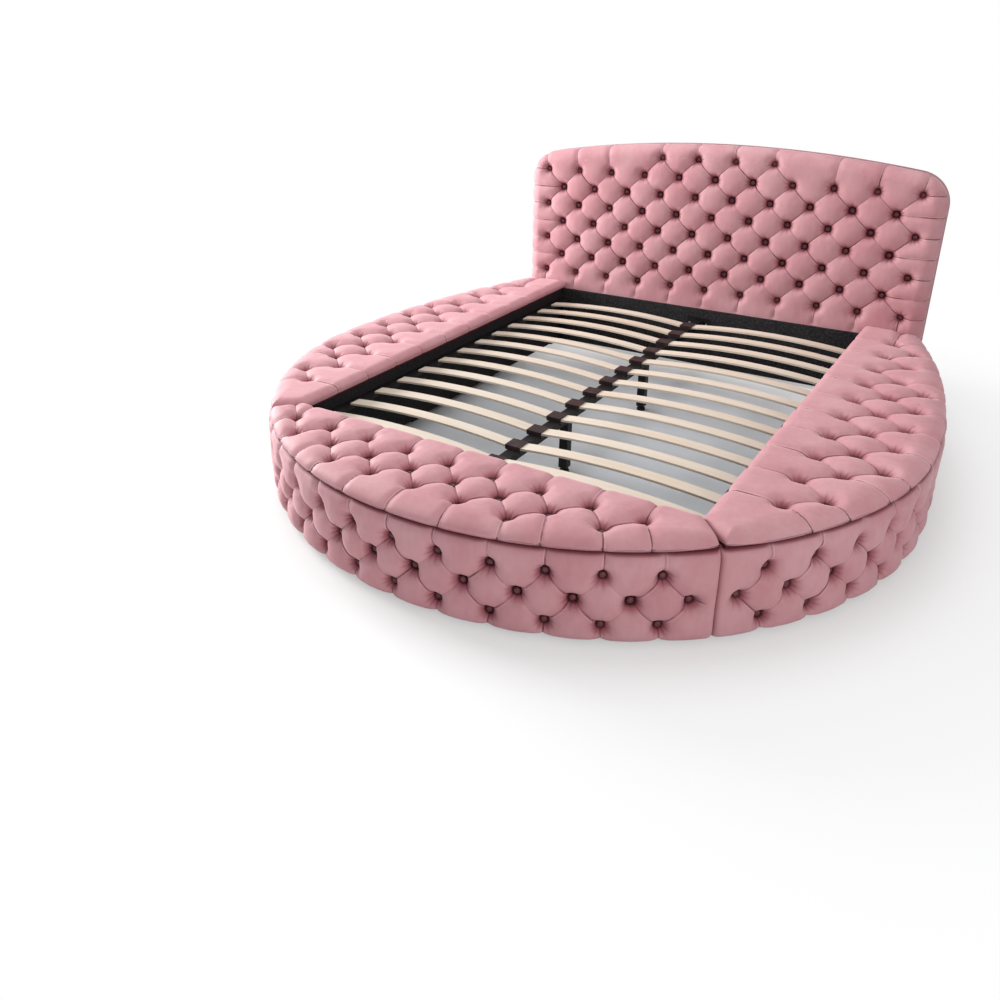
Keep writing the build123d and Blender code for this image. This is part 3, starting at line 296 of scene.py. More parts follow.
# %% Buttons and folds of a wall
def even_pitch(length):
    """The pitch nearest the usual one that fits a wall a whole number of times."""
    inner = length - 2 * wall_margin
    return inner / round(inner / usual_pitch)


def wall_plan(length, pitch):
    """Buttons and folds of a wall. Columns count back from its far end, in quarter pitches."""
    quarter = pitch / 4
    first = -2 * int((length - wall_margin - least_margin) / (2 * quarter))
    buttons = {}
    for v in range(3):
        for u in range(first, 1):
            if (u + 2 * v) % 4 == 2:
                jitter = sin(u * 12.9 + v * 78.2) * 2
                shift = 2.5 * sin(u * 4.3 + v * 2.7), 2.0 * sin(u * 7.7 + v * 5.1)
                along = length - wall_margin + u * quarter + shift[0]
                buttons[(u, v)] = (along, wall_lowest_row + v * wall_row_pitch + shift[1], wall_pit + jitter)
    folds = []
    for (u, v), (x, z, pit) in buttons.items():
        for du in (-2, 2):
            other = buttons.get((u + du, v + 1))
            if other:
                chance = sin(u * 3.7 + v * 1.9 + du)
                middle, lean = wall_crease + 3.5 * chance, 1.0 if du < 0 else -1.0
                ends = (x, z), other[:2], (pit, other[2])
                folds.append(fold(*ends, middle, wall_reach, lean, 0.7 + 0.5 * chance))
        bend = 5.0 * sin(u * 5.1 + v)
        if v != 1:
            far = (x + bend, seam_low + past_edge if v else cover_low - past_edge)
            folds.append(fold((x, z), far, (pit, wall_pleat), wall_pleat, pleat_reach, np.sign(bend), 1.3))
        elif u in (first, 0):
            end = length if u == 0 else 0
            far = (x + 0.7 * (end - x), z)
            folds.append(fold((x, z), far, (pit, 0), end_pleat, end_pleat_reach, -1.0, 1.2))
    return quarter, first, list(buttons.values()), folds


# %% The mesh of a wall
margin_steps = 14


def rolled(shape, gap):
    """How far an edge has curved in at a gap from it: the shape is how far in and over what width."""
    inward, width = shape
    return inward * (1 - np.sqrt(1 - np.clip(1 - gap / width, 0, 1) ** 2))


def wall_mesh(length, place, quarter, first, folds, pits, seed):
    """Closed strip: a tufted front, rolled edges and a plain back."""
    last_column = length - wall_margin
    columns = last_column + quarter / steps_per_quarter * np.arange(first * steps_per_quarter, 0)
    alongs = np.concatenate((
        np.linspace(0, columns[0], margin_steps, endpoint=False),
        columns,
        np.linspace(last_column, length, margin_steps + 1),
    ))
    half_row = wall_row_pitch / 2
    step = half_row / steps_per_quarter
    low_count = int((wall_lowest_row - cover_low) / step)
    high_count = int((seam_low - wall_lowest_row) / step)
    heights = wall_lowest_row + step * np.arange(-low_count, high_count + 1)
    heights = np.concatenate(([cover_low], heights, [seam_low]))
    heights = heights[np.concatenate(([True], np.diff(heights) > 1.0))]
    heights[-1] = seam_low
    along, height = (grid.ravel() for grid in np.meshgrid(alongs, heights, indexing="ij"))
    places = np.stack((along, height), axis=1)
    deep = sunk(places, folds, pits)
    fullness = 1.2 * wander(places, 210.0, seed) + 0.5 * wander(places, 70.0, seed + 5)
    under_seam, over_hem, from_end = seam_low - height, height - cover_low, np.minimum(along, length - along)
    roll = rolled(top_roll, under_seam) + rolled(hem_roll, over_hem) + rolled(upright_roll, from_end)
    depth = np.clip(deep + roll - fullest - fullness, -fullest - 1, cover_thickness - 6)
    front = np.column_stack((place(along, depth), height))
    columns, rows = len(alongs), len(heights)
    plan = place(alongs, np.full(columns, cover_thickness - 1.0))
    back = [np.column_stack((plan, np.full(columns, level))) for level in (seam_low, cover_low)]
    points = np.concatenate((front, *back))
    top_back, low_back = columns * rows, columns * rows + columns
    faces = []
    for i in range(columns - 1):
        u = ((alongs[i] + alongs[i + 1]) / 2 - last_column) / quarter
        for j in range(rows - 1):
            a, b = i * rows + j, (i + 1) * rows + j
            v = ((heights[j] + heights[j + 1]) / 2 - wall_lowest_row) / half_row
            if leans_up(u, v, 2):
                faces += [(a, b, b + 1), (a, b + 1, a + 1)]
            else:
                faces += [(a, b, a + 1), (b, b + 1, a + 1)]
        a, b = i * rows, (i + 1) * rows
        faces.append((a + rows - 1, b + rows - 1, top_back + i + 1, top_back + i))
        faces.append((top_back + i, top_back + i + 1, low_back + i + 1, low_back + i))
        faces.append((low_back + i, low_back + i + 1, b, a))
    last = (columns - 1) * rows
    faces.append((*range(rows), top_back, low_back))
    faces.append((*range(last, last + rows), top_back + columns - 1, low_back + columns - 1)[::-1])
    notes = [np.concatenate((note, np.zeros((2 * columns, 3)))) for note in marks(places, folds, pits)]
    # Painted shade: the velvet darkens toward the lid seam and toward the mitred ends, where shade falls, and
    # joins the pits' depth in one share.
    top = np.clip(1 - under_seam / top_roll[1], 0, 1)
    ends = np.clip(1 - from_end / upright_roll[1], 0, 1)
    shade = np.maximum(0.85 * smooth(top / 0.45 - 1.2), 0.42 * smooth(2 * ends - 1))
    share = np.maximum(deep / wall_pit, shade)
    return points, faces, np.concatenate((share, np.zeros(2 * columns))), notes


# %% Build the three walls
walls = {}
wall_buttons = {}
wall_runs = {
    "foot": (2 * foot_half_angle * bed_radius, foot_wall_pitch, foot_wall_place, 1.0),
    "right": (side_length, even_pitch(side_length), side_wall_place, 2.0),
}
for side, (length, pitch, place, seed) in wall_runs.items():
    quarter, first, pits, folds = wall_plan(length, pitch)
    walls[side] = wall_mesh(length, place, quarter, first, folds, pits, seed)
    wall_buttons[side] = (pits, place)
    print(f"{side} wall: {length:.0f} mm, {len(pits)} buttons, {len(folds)} folds")
points, faces, deep, notes = walls["right"]
walls["left"] = (points * (-1, 1, 1), faces, deep, notes)
covers = {}
for side, (points, faces, deep, notes) in walls.items():
    cover = piece(f"{side}_bench_velvet", points, faces, "base", deep, notes)
    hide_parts(f"{side}_bench_cover")
    covers[side] = cover

# %% [markdown]
# ## Lids and headboard
#
# These are flat pads with rolled edges. The edge is built from rings of the pad's outline, drawn
# in step by step as the roll turns over, and the middle is filled with points on a grid that fits
# the buttons. A Delaunay fill joins the two without gaps, which a plain grid can't do at a curved
# rim. All of it is drawn flat first, in distances along and across the pad, and placed afterwards.


# %% Rings of a pad's edge
def spaced(corners, step):
    """How many points each side of a closed outline takes, and whether the outline runs clockwise."""
    corners = np.asarray(corners, float)
    ahead = np.roll(corners, -1, axis=0)
    area = (corners[:, 0] * ahead[:, 1] - ahead[:, 0] * corners[:, 1]).sum()
    counts = np.maximum(1, np.round(np.hypot(*(ahead - corners).T) / step).astype(int))
    return counts, area < 0


def ring_points(corners, counts, backwards):
    """The outline's points, divided by the given counts."""
    corners = np.asarray(corners, float)
    ahead = np.roll(corners, -1, axis=0)
    runs = [a + (b - a) * (np.arange(n) / n)[:, None] for a, b, n in zip(corners, ahead, counts)]
    points = np.concatenate(runs)
    return points[::-1] if backwards else points


# %% Grid points that fit the buttons
def inside_ring(places, ring, clearance):
    """Which places lie inside a ring and at least a clearance from it."""
    inside = np.zeros(len(places), bool)
    for (x0, y0), (x1, y1) in zip(ring, np.roll(ring, -1, axis=0)):
        if y0 != y1:
            crossed = (places[:, 1] > min(y0, y1)) & (places[:, 1] <= max(y0, y1))
            inside ^= crossed & (places[:, 0] < x0 + (places[:, 1] - y0) / (y1 - y0) * (x1 - x0))
    chosen = np.flatnonzero(inside)
    free = []
    for first in range(0, len(chosen), 4000):
        gaps = places[chosen[first:first + 4000]][:, None, :] - ring[None, :, :]
        free.append(np.hypot(gaps[..., 0], gaps[..., 1]).min(axis=1) > clearance)
    return chosen[np.concatenate(free)]


def fitted_grid(ring, origin, steps, clearance):
    """Grid points inside a ring, and the cell diagonals along the creases."""
    low, high = ((edge - origin) // steps for edge in (ring.min(axis=0), ring.max(axis=0)))
    spans = [np.arange(int(low[k]), int(high[k]) + 2) for k in (0, 1)]
    i, j = (grid.ravel() for grid in np.meshgrid(*spans, indexing="ij"))
    places = np.stack((origin[0] + i * steps[0], origin[1] + j * steps[1]), axis=1)
    chosen = inside_ring(places, ring, clearance)
    number = {(i[k], j[k]): index for index, k in enumerate(chosen)}
    diagonals = []
    for column, row in number:
        u, v = (column + 0.5) / steps_per_quarter, (row + 0.5) / steps_per_quarter
        rising = (column, row), (column + 1, row + 1)
        falling = (column + 1, row), (column, row + 1)
        ends = rising if leans_up(u, v, 0) else falling
        if ends[0] in number and ends[1] in number:
            diagonals.append((number[ends[0]], number[ends[1]]))
    return places[chosen], diagonals


def eased(points, faces, share, rounds=12):
    """The points, each drawn toward the middle of its neighbours by its share."""
    pairs = np.array([(face[k - 1], face[k]) for face in faces if len(face) < 5 for k in range(len(face))])
    pairs = np.concatenate((pairs, pairs[:, ::-1]))
    count = np.maximum(np.bincount(pairs[:, 0], minlength=len(points)), 1)[:, None]
    for _ in range(rounds):
        middle = np.zeros_like(points)
        np.add.at(middle, pairs[:, 0], points[pairs[:, 1]])
        points = points + 0.5 * share[:, None] * (middle / count - points)
    return points


# %% The mesh of a pad
ring_clearance = 0.8
corner_reach, corner_pull = 75.0, 12.0
skirt_fade = 14.0


def pad_mesh(outline, base, top, roll, underturn, skirt, origin, steps, folds, pits, seed, soft=()):
    """Closed pad: along, across and height of its points, faces, depth share with painted shade by the seam,
    and marks.

    roll(rim) gives how far in and how far down the edge curves at each point of the rim, since the
    edge beside the mattress is tighter than the outer one. The soft corners are drawn in and round.
    The fill also spans hollows of the innermost ring, so what lies outside the ring is left out.
    """
    counts, backwards = spaced(outline(0), steps[0])
    rim = ring_points(outline(0), counts, backwards)
    inward = ring_points(outline(1), counts, backwards) - rim
    wide, tall = roll(rim)
    rings = [(np.full(len(rim), underturn), np.full(len(rim), base), 90)]
    for inset, rise in ((0.45 * underturn, 0.5 * skirt), (0.1 * underturn, skirt), (0, 2 * skirt)):
        rings.append((np.full(len(rim), inset), np.full(len(rim), base + rise), 90))
    rows = max(4, int(round(wide.max() / steps[0])))
    for turn in np.linspace(90, 0, rows + 1):
        rings.append((wide * (1 - sin(radians(turn))), top - tall * (1 - cos(radians(turn))), turn))
    count = len(rim)
    plans = [rim + inward * inset[:, None] for inset, _, _ in rings]
    heights = [height for _, height, _ in rings]
    outs, rises = [], []
    outward = -inward / np.hypot(*inward.T)[:, None]
    for _, _, turn in rings:
        side, up = sin(radians(turn)) / wide, cos(radians(turn)) / tall
        outs.append(outward * (side / np.hypot(side, up))[:, None])
        rises.append(up / np.hypot(side, up))
    grid, diagonals = fitted_grid(plans[-1], origin, steps, ring_clearance * steps[0])
    flat = [Vector(point) for point in (*plans[-1], *grid)]
    edges = [(a + count, b + count) for a, b in diagonals]
    found, _, triangles, *_ = delaunay_2d_cdt(flat, edges, [list(range(count))], 1, 1e-5, False)
    assert len(found) == len(flat), "the fill moved points of the edge"
    centres = np.concatenate((plans[-1], grid))[np.array(triangles)].mean(axis=1)
    triangles = [triangles[k] for k in inside_ring(centres, plans[-1], -1)]
    plans.append(grid)
    outs.append(np.zeros((len(grid), 2)))
    heights.append(np.full(len(grid), float(top)))
    rises.append(np.ones(len(grid)))
    plans, outs, heights, rises = (np.concatenate(parts) for parts in (plans, outs, heights, rises))
    start = (len(rings) - 1) * count
    faces = [tuple(start + index for index in triangle) for triangle in triangles]
    for ring in range(len(rings) - 1):
        for k in range(count):
            a, b = ring * count + k, ring * count + (k + 1) % count
            faces.append((a, b, b + count, a + count))
    faces.append(tuple(range(count))[::-1])
    deep = sunk(plans, folds, pits) if folds else np.zeros(len(plans))
    bulge = fullest + 1.4 * wander(plans, 230.0, seed) + 0.6 * wander(plans, 80.0, seed + 5)
    allowed = np.clip((heights - base) / skirt_fade, 0, 1)
    depth = (deep - bulge * rises) * allowed if folds else np.full(len(plans), 0.1)
    notes = marks(plans, folds, pits)
    deepest = max([pit[2] for pit in pits] + [1.0])
    # Painted shade: the lowest rings, by the seam, are darkened.
    seam_shade = 0.9 * smooth(1.3 - (heights - base) / 9)
    share = np.maximum(deep / deepest, seam_shade) if folds else np.zeros(len(plans))
    places = plans - outs * depth[:, None]
    for corner in soft:
        toward = rim.mean(axis=0) - corner
        near = np.clip(1 - np.hypot(*(places - corner).T) / corner_reach, 0, 1) ** 2
        places += near[:, None] * corner_pull * toward / np.hypot(*toward)
    border = np.zeros(len(plans))
    for triangle in triangles:
        if min(triangle) < count:
            border[[start + index for index in triangle]] = 1
    points = np.column_stack((places, heights - rises * depth))
    points = eased(points, faces, border * (1 - np.clip(notes[1][:, 1], 0, 1)))
    return points[:, :2], points[:, 2], faces, share, notes


# %% [markdown]
# ### Where the lids are buttoned
#
# The lid over the foot has three staggered rows of buttons, and the side lids have rows that run
# from head to foot. Buttons stop a hand's width from the edge. From the outermost ones straight
# pleats run over the roll to the seam, square to the nearest edge.

# %% Buttons and folds of a pad
lid_pit = 37.0
lid_crease = 17.0
lid_pleat = 11.0
button_margin = 54.0
past_rim, past_end, past_front = 30.0, 25.0, 75.0
lid_pleat_reach, headboard_pleat_reach = 34.0, 36.0


def pleat(start, toward, far, wide=lid_pleat_reach):
    """A pleat's end, that far from its start in a direction, and its half-width."""
    reach = far / hypot(*toward)
    return (start[0] + toward[0] * reach, start[1] + toward[1] * reach), wide


def pad_plan(origin, pitch, row_pitch, rim, exits, pit_depth, crease, pleat, reach, seed):
    """Buttons inside the rim, creases between neighbours, pleats out to the edges.

    rim(along, across) is the distance to the nearest buttonless edge, and exits(u, v, along,
    across) gives the pleats' far ends for a button with a neighbour missing.
    """
    buttons = {}
    for u in range(-60, 61):
        for v in range(0, 24, 2):
            if u % 4 == v % 4:
                along, across = origin[0] + u * pitch / 4, origin[1] + v * row_pitch / 2
                if rim(along, across) >= button_margin:
                    jitter = 2.0 * sin(u * 7.3 + v * 4.1 + seed)
                    buttons[(u, v)] = (along, across, pit_depth + jitter)
    folds = []
    for (u, v), (along, across, pit) in buttons.items():
        for du in (-2, 2):
            other = buttons.get((u + du, v + 2))
            if other:
                chance = sin(u * 2.9 + v * 5.3 + du + seed)
                middle, lean = crease + 3.0 * chance, 1.0 if du < 0 else -1.0
                ends = (along, across), other[:2], (pit, other[2])
                folds.append(fold(*ends, middle, reach, lean, 0.7 + 0.5 * chance))
        lean = 1.0 if u % 8 < 4 else -1.0
        for far, wide in exits(u, v, along, across, buttons):
            folds.append(fold((along, across), far, (pit, pleat), pleat, wide, lean, 1.3))
    return list(buttons.values()), folds


# %% The lid over the foot
lid_low = seam_high
lid_underturn, lid_skirt = 13.0, 5.0
inner_roll_wide, inner_roll_tall = 36.0, 24.0
corner_across, crown_across = 89.0, 96.0
centre_back = centre_y - foot_y
foot_lid_origin, foot_lid_pitch, foot_lid_row = (-33.0, 107.0), 167.0, 93.5
arc_runs = 110


def lid_roll(rim):
    """How far in and down a lid's edge curves: tight beside the mattress, full and crowned outside."""
    near, far = smooth(rim[:, 1] / corner_across), smooth((rim[:, 1] - corner_across) / crown_across)
    return inner_roll_wide + 14 * near + 40 * far, inner_roll_tall + 4 * near + 7 * far


def foot_lid_outline(inset):
    """The foot lid's plan, as distances along it and across it from the well."""
    drop, reach = lid_overhang + inset, half_well - sqrt(2) * (lid_gap + inset)
    outer = mitre_point(drop, reach)
    start = atan2(outer[1] - centre_y, outer[0])
    radius = bed_radius - drop
    turns = start + (-pi - 2 * start) * np.arange(arc_runs + 1) / arc_runs
    arc = [(radius * cos(turn), -centre_back - radius * sin(turn)) for turn in turns]
    return [(-reach - inset, inset), (reach + inset, inset)] + arc


def foot_edges(along, across):
    """Distance from a place on the foot lid to its round edge and to its mitre."""
    round_edge = bed_radius - lid_overhang - hypot(along, across + centre_back)
    return round_edge, (half_well + across - abs(along)) / sqrt(2)


def foot_exits(u, v, along, across, buttons):
    """Pleats from an outer button of the foot lid over the edge."""
    ways = [((along + 3, -past_rim), lid_pleat_reach)] if v == 0 else []
    round_edge, mitre = foot_edges(along, across)
    outward = np.sign(along)
    if (u - 2, v + 2) not in buttons or (u + 2, v + 2) not in buttons:
        ways.append(pleat((along, across), (along, across + centre_back), round_edge + past_rim))
    if (u + 4 * outward, v) not in buttons and mitre < 130:
        ways.append(pleat((along, across), (outward, -1), mitre + past_end))
    return ways


# %% Fill and place the foot lid
foot_lid_pits, foot_lid_folds = pad_plan(
    foot_lid_origin, foot_lid_pitch, foot_lid_row, lambda a, c: min(foot_edges(a, c)), foot_exits,
    lid_pit, lid_crease, lid_pleat, 65.0, 1.0,
)
plans, heights, faces, deep, notes = pad_mesh(
    foot_lid_outline, lid_low, lid_top, lid_roll, lid_underturn, lid_skirt, foot_lid_origin,
    (foot_lid_pitch / 32, foot_lid_row / 16), foot_lid_folds, foot_lid_pits, 3.0,
    [np.array(foot_lid_outline(0)[k]) for k in (2, -1)],
)
points = np.column_stack((plans[:, 0], foot_y - plans[:, 1], heights))
foot_lid = piece("foot_lid_velvet", points, faces, "foot_lid", deep, notes)
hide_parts("foot_lid_cushion")
print("foot lid:", len(foot_lid_pits), "buttons,", len(foot_lid_folds), "folds,", len(points), "points")

# %% The side lids
side_lid_origin, side_lid_pitch, side_lid_row = (191.0, 160.0), 185.0, 101.0
side_lid_end = rear_y - joint_gap - lid_gap
side_runs = 64


def side_lid_outline(inset):
    """The right lid's plan, as distances along it from the foot corner and across it."""
    drop, reach = lid_overhang + inset, half_well + sqrt(2) * (lid_gap + inset)
    outer = mitre_point(drop, reach)
    inner_x, end_y = half_well + inset, side_lid_end - inset
    start = atan2(outer[1] - centre_y, outer[0])
    corners = [(inner_x, end_y), (inner_x, foot_y + reach - inner_x)]
    radius = bed_radius - drop
    for k in range(side_runs + 1):
        turn = start * (1 - k / side_runs)
        corners.append((radius * cos(turn), centre_y + radius * sin(turn)))
    radius = back_radius - drop
    back_turn = asin((end_y - centre_y) / radius)
    for k in range(1, side_runs + 1):
        turn = back_turn * k / side_runs
        corners.append((back_centre_x + radius * cos(turn), centre_y + radius * sin(turn)))
    return [(y - foot_y, x - half_well) for x, y in corners]


def side_edges(along, across):
    """Distance from a place on the right lid to its round edge, its mitre and its rear end."""
    x, y = half_well + across, foot_y + along
    middle, radius = (0, bed_radius) if y < centre_y else (back_centre_x, back_radius)
    return radius - lid_overhang - hypot(x - middle, y - centre_y), (across + along) / sqrt(2), rear_y - y


def side_exits(u, v, along, across, buttons):
    """Pleats from an outer button of the right lid over the edge."""
    ways = [((along + 3, -past_rim), lid_pleat_reach)] if v == 0 else []
    round_edge, mitre, rear = side_edges(along, across)
    x, y = half_well + across, foot_y + along
    if (u - 2, v + 2) not in buttons or (u + 2, v + 2) not in buttons:
        middle = 0 if y < centre_y else back_centre_x
        ways.append(pleat((along, across), (y - centre_y, x - middle), round_edge + past_rim))
    if (u - 4, v) not in buttons and mitre < 200:
        ways.append(pleat((along, across), (-1, -1), mitre + past_end))
    if (u + 4, v) not in buttons and rear < 1.2 * side_lid_pitch:
        ways.append(pleat((along, across), (1, 0), rear + past_end))
    return ways


# %% Fill and place the side lids
side_lid_pits, side_lid_folds = pad_plan(
    side_lid_origin, side_lid_pitch, side_lid_row, lambda a, c: min(side_edges(a, c)), side_exits,
    lid_pit, lid_crease, lid_pleat, 70.0, 2.0,
)
plans, heights, faces, deep, notes = pad_mesh(
    side_lid_outline, lid_low, lid_top, lid_roll, lid_underturn, lid_skirt, side_lid_origin,
    (side_lid_pitch / 32, side_lid_row / 16), side_lid_folds, side_lid_pits, 4.0,
    [np.array(side_lid_outline(0)[k]) for k in (2, -1)],
)
points = np.column_stack((half_well + plans[:, 1], foot_y + plans[:, 0], heights))
lids = [foot_lid]
for side in ("right", "left"):
    placed = points if side == "right" else points * (-1, 1, 1)
    lid = piece(f"{side}_lid_velvet", placed, faces, f"{side}_lid", deep, notes)
    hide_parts(f"{side}_lid_cushion")
    lids.append(lid)
print("side lids:", len(side_lid_pits), "buttons each,", len(points), "points")

# %% [markdown]
# ### The headboard
#
# The photograph crops the head end, so this pad takes after the rest of the bed: the same velvet
# and the same diamonds, with an arched top and plain velvet below the mattress line. Its front pad
# faces the mattress, and a thin taut cloth closes the back.

# %% Outline of the headboard
headboard_front, headboard_rear = (corner.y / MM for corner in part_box("headboard_cushion"))
headboard_low, headboard_top = (corner.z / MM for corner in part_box("headboard_cushion"))
headboard_shoulder, headboard_corner = 1010.0, 150.0
arch_rise = headboard_top - headboard_shoulder
arch_radius = (half_headboard**2 + arch_rise**2) / (2 * arch_rise)
arch_middle = headboard_top - arch_radius


def headboard_outline(inset):
    """Half-width and height of the headboard's edge, set in by inset."""
    half, corner = half_headboard - inset, headboard_corner - inset
    corner_x = half - corner
    corner_z = arch_middle + sqrt((arch_radius - headboard_corner) ** 2 - corner_x**2)
    meet = atan2(corner_z - arch_middle, corner_x)
    turns = [meet * k / 16 for k in range(17)]
    right = [(corner_x + corner * cos(turn), corner_z + corner * sin(turn)) for turn in turns]
    reach = arch_radius - inset
    turns = [meet + (pi / 2 - meet) * k / 30 for k in range(1, 31)]
    right += [(reach * cos(turn), arch_middle + reach * sin(turn)) for turn in turns]
    left = [(-x, z) for x, z in right[-2::-1]]
    return [(-half, headboard_low + inset), (half, headboard_low + inset)] + right + left


def headboard_edge(along, height):
    """Least distance from a place on the headboard to its top and sides."""
    return min(arch_radius - hypot(along, height - arch_middle), half_headboard - abs(along))


def headboard_exits(u, v, along, height, buttons):
    """Pleats from an outer button of the headboard to its edges."""
    here, wide = (along, height), headboard_pleat_reach
    ways = [pleat(here, (0, -1), past_front, wide)] if v == 0 else []
    if (u - 2, v + 2) not in buttons and (u + 2, v + 2) not in buttons:
        outward = along, height - arch_middle
        ways.append(pleat(here, outward, arch_radius - hypot(*outward) + past_rim, wide))
    side, gap = 1 if along > 0 else -1, half_headboard - abs(along)
    if (u + 4 * side, v) not in buttons and gap < 1.2 * headboard_pitch:
        ways.append(pleat(here, (side, 0), gap + past_rim, wide))
    return ways


# %% Fill and place the headboard
headboard_origin, headboard_pitch, headboard_row = (0.0, 400.0), 180.0, 90.0
headboard_pits, headboard_folds = pad_plan(
    headboard_origin, headboard_pitch, headboard_row, headboard_edge, headboard_exits,
    34.0, 12.0, 8.0, 66.0, 3.0,
)
headboard_thick = headboard_rear - headboard_front


def even_roll(wide, tall):
    """The same roll all round."""
    return lambda rim: (np.full(len(rim), wide), np.full(len(rim), tall))


plans, heights, faces, deep, notes = pad_mesh(
    headboard_outline, 0.0, headboard_thick, even_roll(62.0, 40.0), 3.0, 4.0, headboard_origin,
    (headboard_pitch / 32, headboard_row / 16), headboard_folds, headboard_pits, 6.0,
)
points = np.column_stack((plans[:, 0], headboard_rear - heights, plans[:, 1]))
headboard = piece("headboard_velvet", points, faces, "base", deep, notes)
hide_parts("headboard_cushion")
print("headboard:", len(headboard_pits), "buttons,", len(points), "points")

# %% The cloth over the headboard's back
back_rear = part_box("headboard_back")[1].y / MM
back_thick = 2.0
plans, heights, faces, deep, notes = pad_mesh(
    lambda inset: headboard_outline(inset + 1), 0.0, back_thick, even_roll(1.5, 1.2), 0.3, 0.3,
    (0.0, 0.0), (24.0, 24.0), [], [], 8.0,
)
points = np.column_stack((plans[:, 0], back_rear - back_thick + heights, plans[:, 1]))
back_cloth = piece("headboard_back_cloth", points, faces, "base", deep, notes)
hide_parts("headboard_back")
print("back cloth:", len(points), "points, rear face at y", round(back_rear))

# %% [markdown]
# ## The buttons
#
# A covered button is a shallow dome of velvet pulled over a metal shell, with a tight turned edge.
# Each is lathed from one profile and set on the flat seat at the bottom of its pit, facing the
# way the pit opens.

# %% One button's profile
button_profile = (
    (0.0, -1.0), (7.0, -1.0), (9.6, 0.4), (10.3, 2.2), (9.9, 4.0),
    (8.5, 5.9), (6.1, 7.3), (3.2, 8.1), (0.0, 8.4),
)
button_turns = 20


def button_mesh(seats):
    """Buttons at the given seats: a place, and the way each faces."""
    points, faces = [], []
    for seat, out in seats:
        out = Vector(out).normalized()
        side = out.orthogonal().normalized()
        other = out.cross(side)
        first = len(points)
        points.append(Vector(seat) + out * button_profile[0][1])
        for radius, height in button_profile[1:-1]:
            for k in range(button_turns):
                turn = 2 * pi * k / button_turns
                points.append(Vector(seat) + out * height + (side * cos(turn) + other * sin(turn)) * radius)
        points.append(Vector(seat) + out * button_profile[-1][1])
        last = len(points) - 1
        rings = len(button_profile) - 2
        for k in range(button_turns):
            ahead = (k + 1) % button_turns
            faces.append((first, first + 1 + ahead, first + 1 + k))
            for ring in range(rings - 1):
                a = first + 1 + ring * button_turns
                b = a + button_turns
                faces.append((a + k, a + ahead, b + ahead, b + k))
            faces.append((last - button_turns + k, last - button_turns + ahead, last))
    return np.array([tuple(point) for point in points]), faces


# %% Set the buttons
def wall_seats(side):
    """Seats of a wall's buttons."""
    pits, place = wall_buttons[side]
    seats = []
    for along, height, deep in pits:
        inner, outer = (place(np.array([along]), np.array([depth]))[0] for depth in (deep - fullest, 0.0))
        seats.append(((*inner, height), (*(outer - inner), 0)))
    return seats


up, frontward = (0, 0, 1), (0, -1, 0)
lid_seat = lid_top + fullest - lid_button_sink
foot_lid_seats = [((a, foot_y - c, lid_seat - deep), up) for a, c, deep in foot_lid_pits]
side_lid_seats = [((half_well + c, foot_y + a, lid_seat - deep), up) for a, c, deep in side_lid_pits]
headboard_seats = [((a, headboard_front - fullest + deep, c), frontward) for a, c, deep in headboard_pits]
right_seats = wall_seats("right")


def flipped(seats):
    """The same seats on the left."""
    return [((-x, y, z), (-out[0], out[1], out[2])) for (x, y, z), out in seats]


all_seats = {
    "foot_bench_buttons": (wall_seats("foot"), "base"),
    "right_bench_buttons": (right_seats, "base"),
    "left_bench_buttons": (flipped(right_seats), "base"),
    "foot_lid_buttons": (foot_lid_seats, "foot_lid"),
    "right_lid_buttons": (side_lid_seats, "right_lid"),
    "left_lid_buttons": (flipped(side_lid_seats), "left_lid"),
    "headboard_buttons": (headboard_seats, "base"),
}
button_pieces = []
for node, (seats, body) in all_seats.items():
    points, faces = button_mesh(seats)
    buttons = piece(f"{node}_covered", points, faces, body)
    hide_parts(node)
    button_pieces.append(buttons)
print("buttons:", {node: len(seats) for node, (seats, _) in all_seats.items()})

# %% [markdown]
# ## Finishes as arithmetic
#
# A finish is a small calculation from the place on the surface to a colour, a roughness and a
# bump. `Signal` lets that calculation be written as ordinary sums: each operator adds one Math
# node. `Finish` holds one material and adds every other kind of node through a single method.


# %% Signals and finishes
class Signal:
    """One node output. Operators on it add Math nodes, for values only."""

    def __init__(self, finish, socket):
        self.finish, self.socket = finish, socket

    def math(self, operation, first, second=0.0):
        return self.finish.add("ShaderNodeMath", {"operation": operation}, {0: first, 1: second})

    def __add__(self, other):
        return self.math("ADD", self, other)

    def __sub__(self, other):
        return self.math("SUBTRACT", self, other)

    def __rsub__(self, other):
        return self.math("SUBTRACT", other, self)

    def __mul__(self, other):
        return self.math("MULTIPLY", self, other)

    def __pow__(self, other):
        return self.math("POWER", self, other)

    __radd__ = __add__
    __rmul__ = __mul__

    def smoothed(self, low, high):
        """0 below low, 1 above high."""
        inputs = {"Value": self, "From Min": low, "From Max": high}
        return self.finish.add("ShaderNodeMapRange", {"interpolation_type": "SMOOTHSTEP"}, inputs)


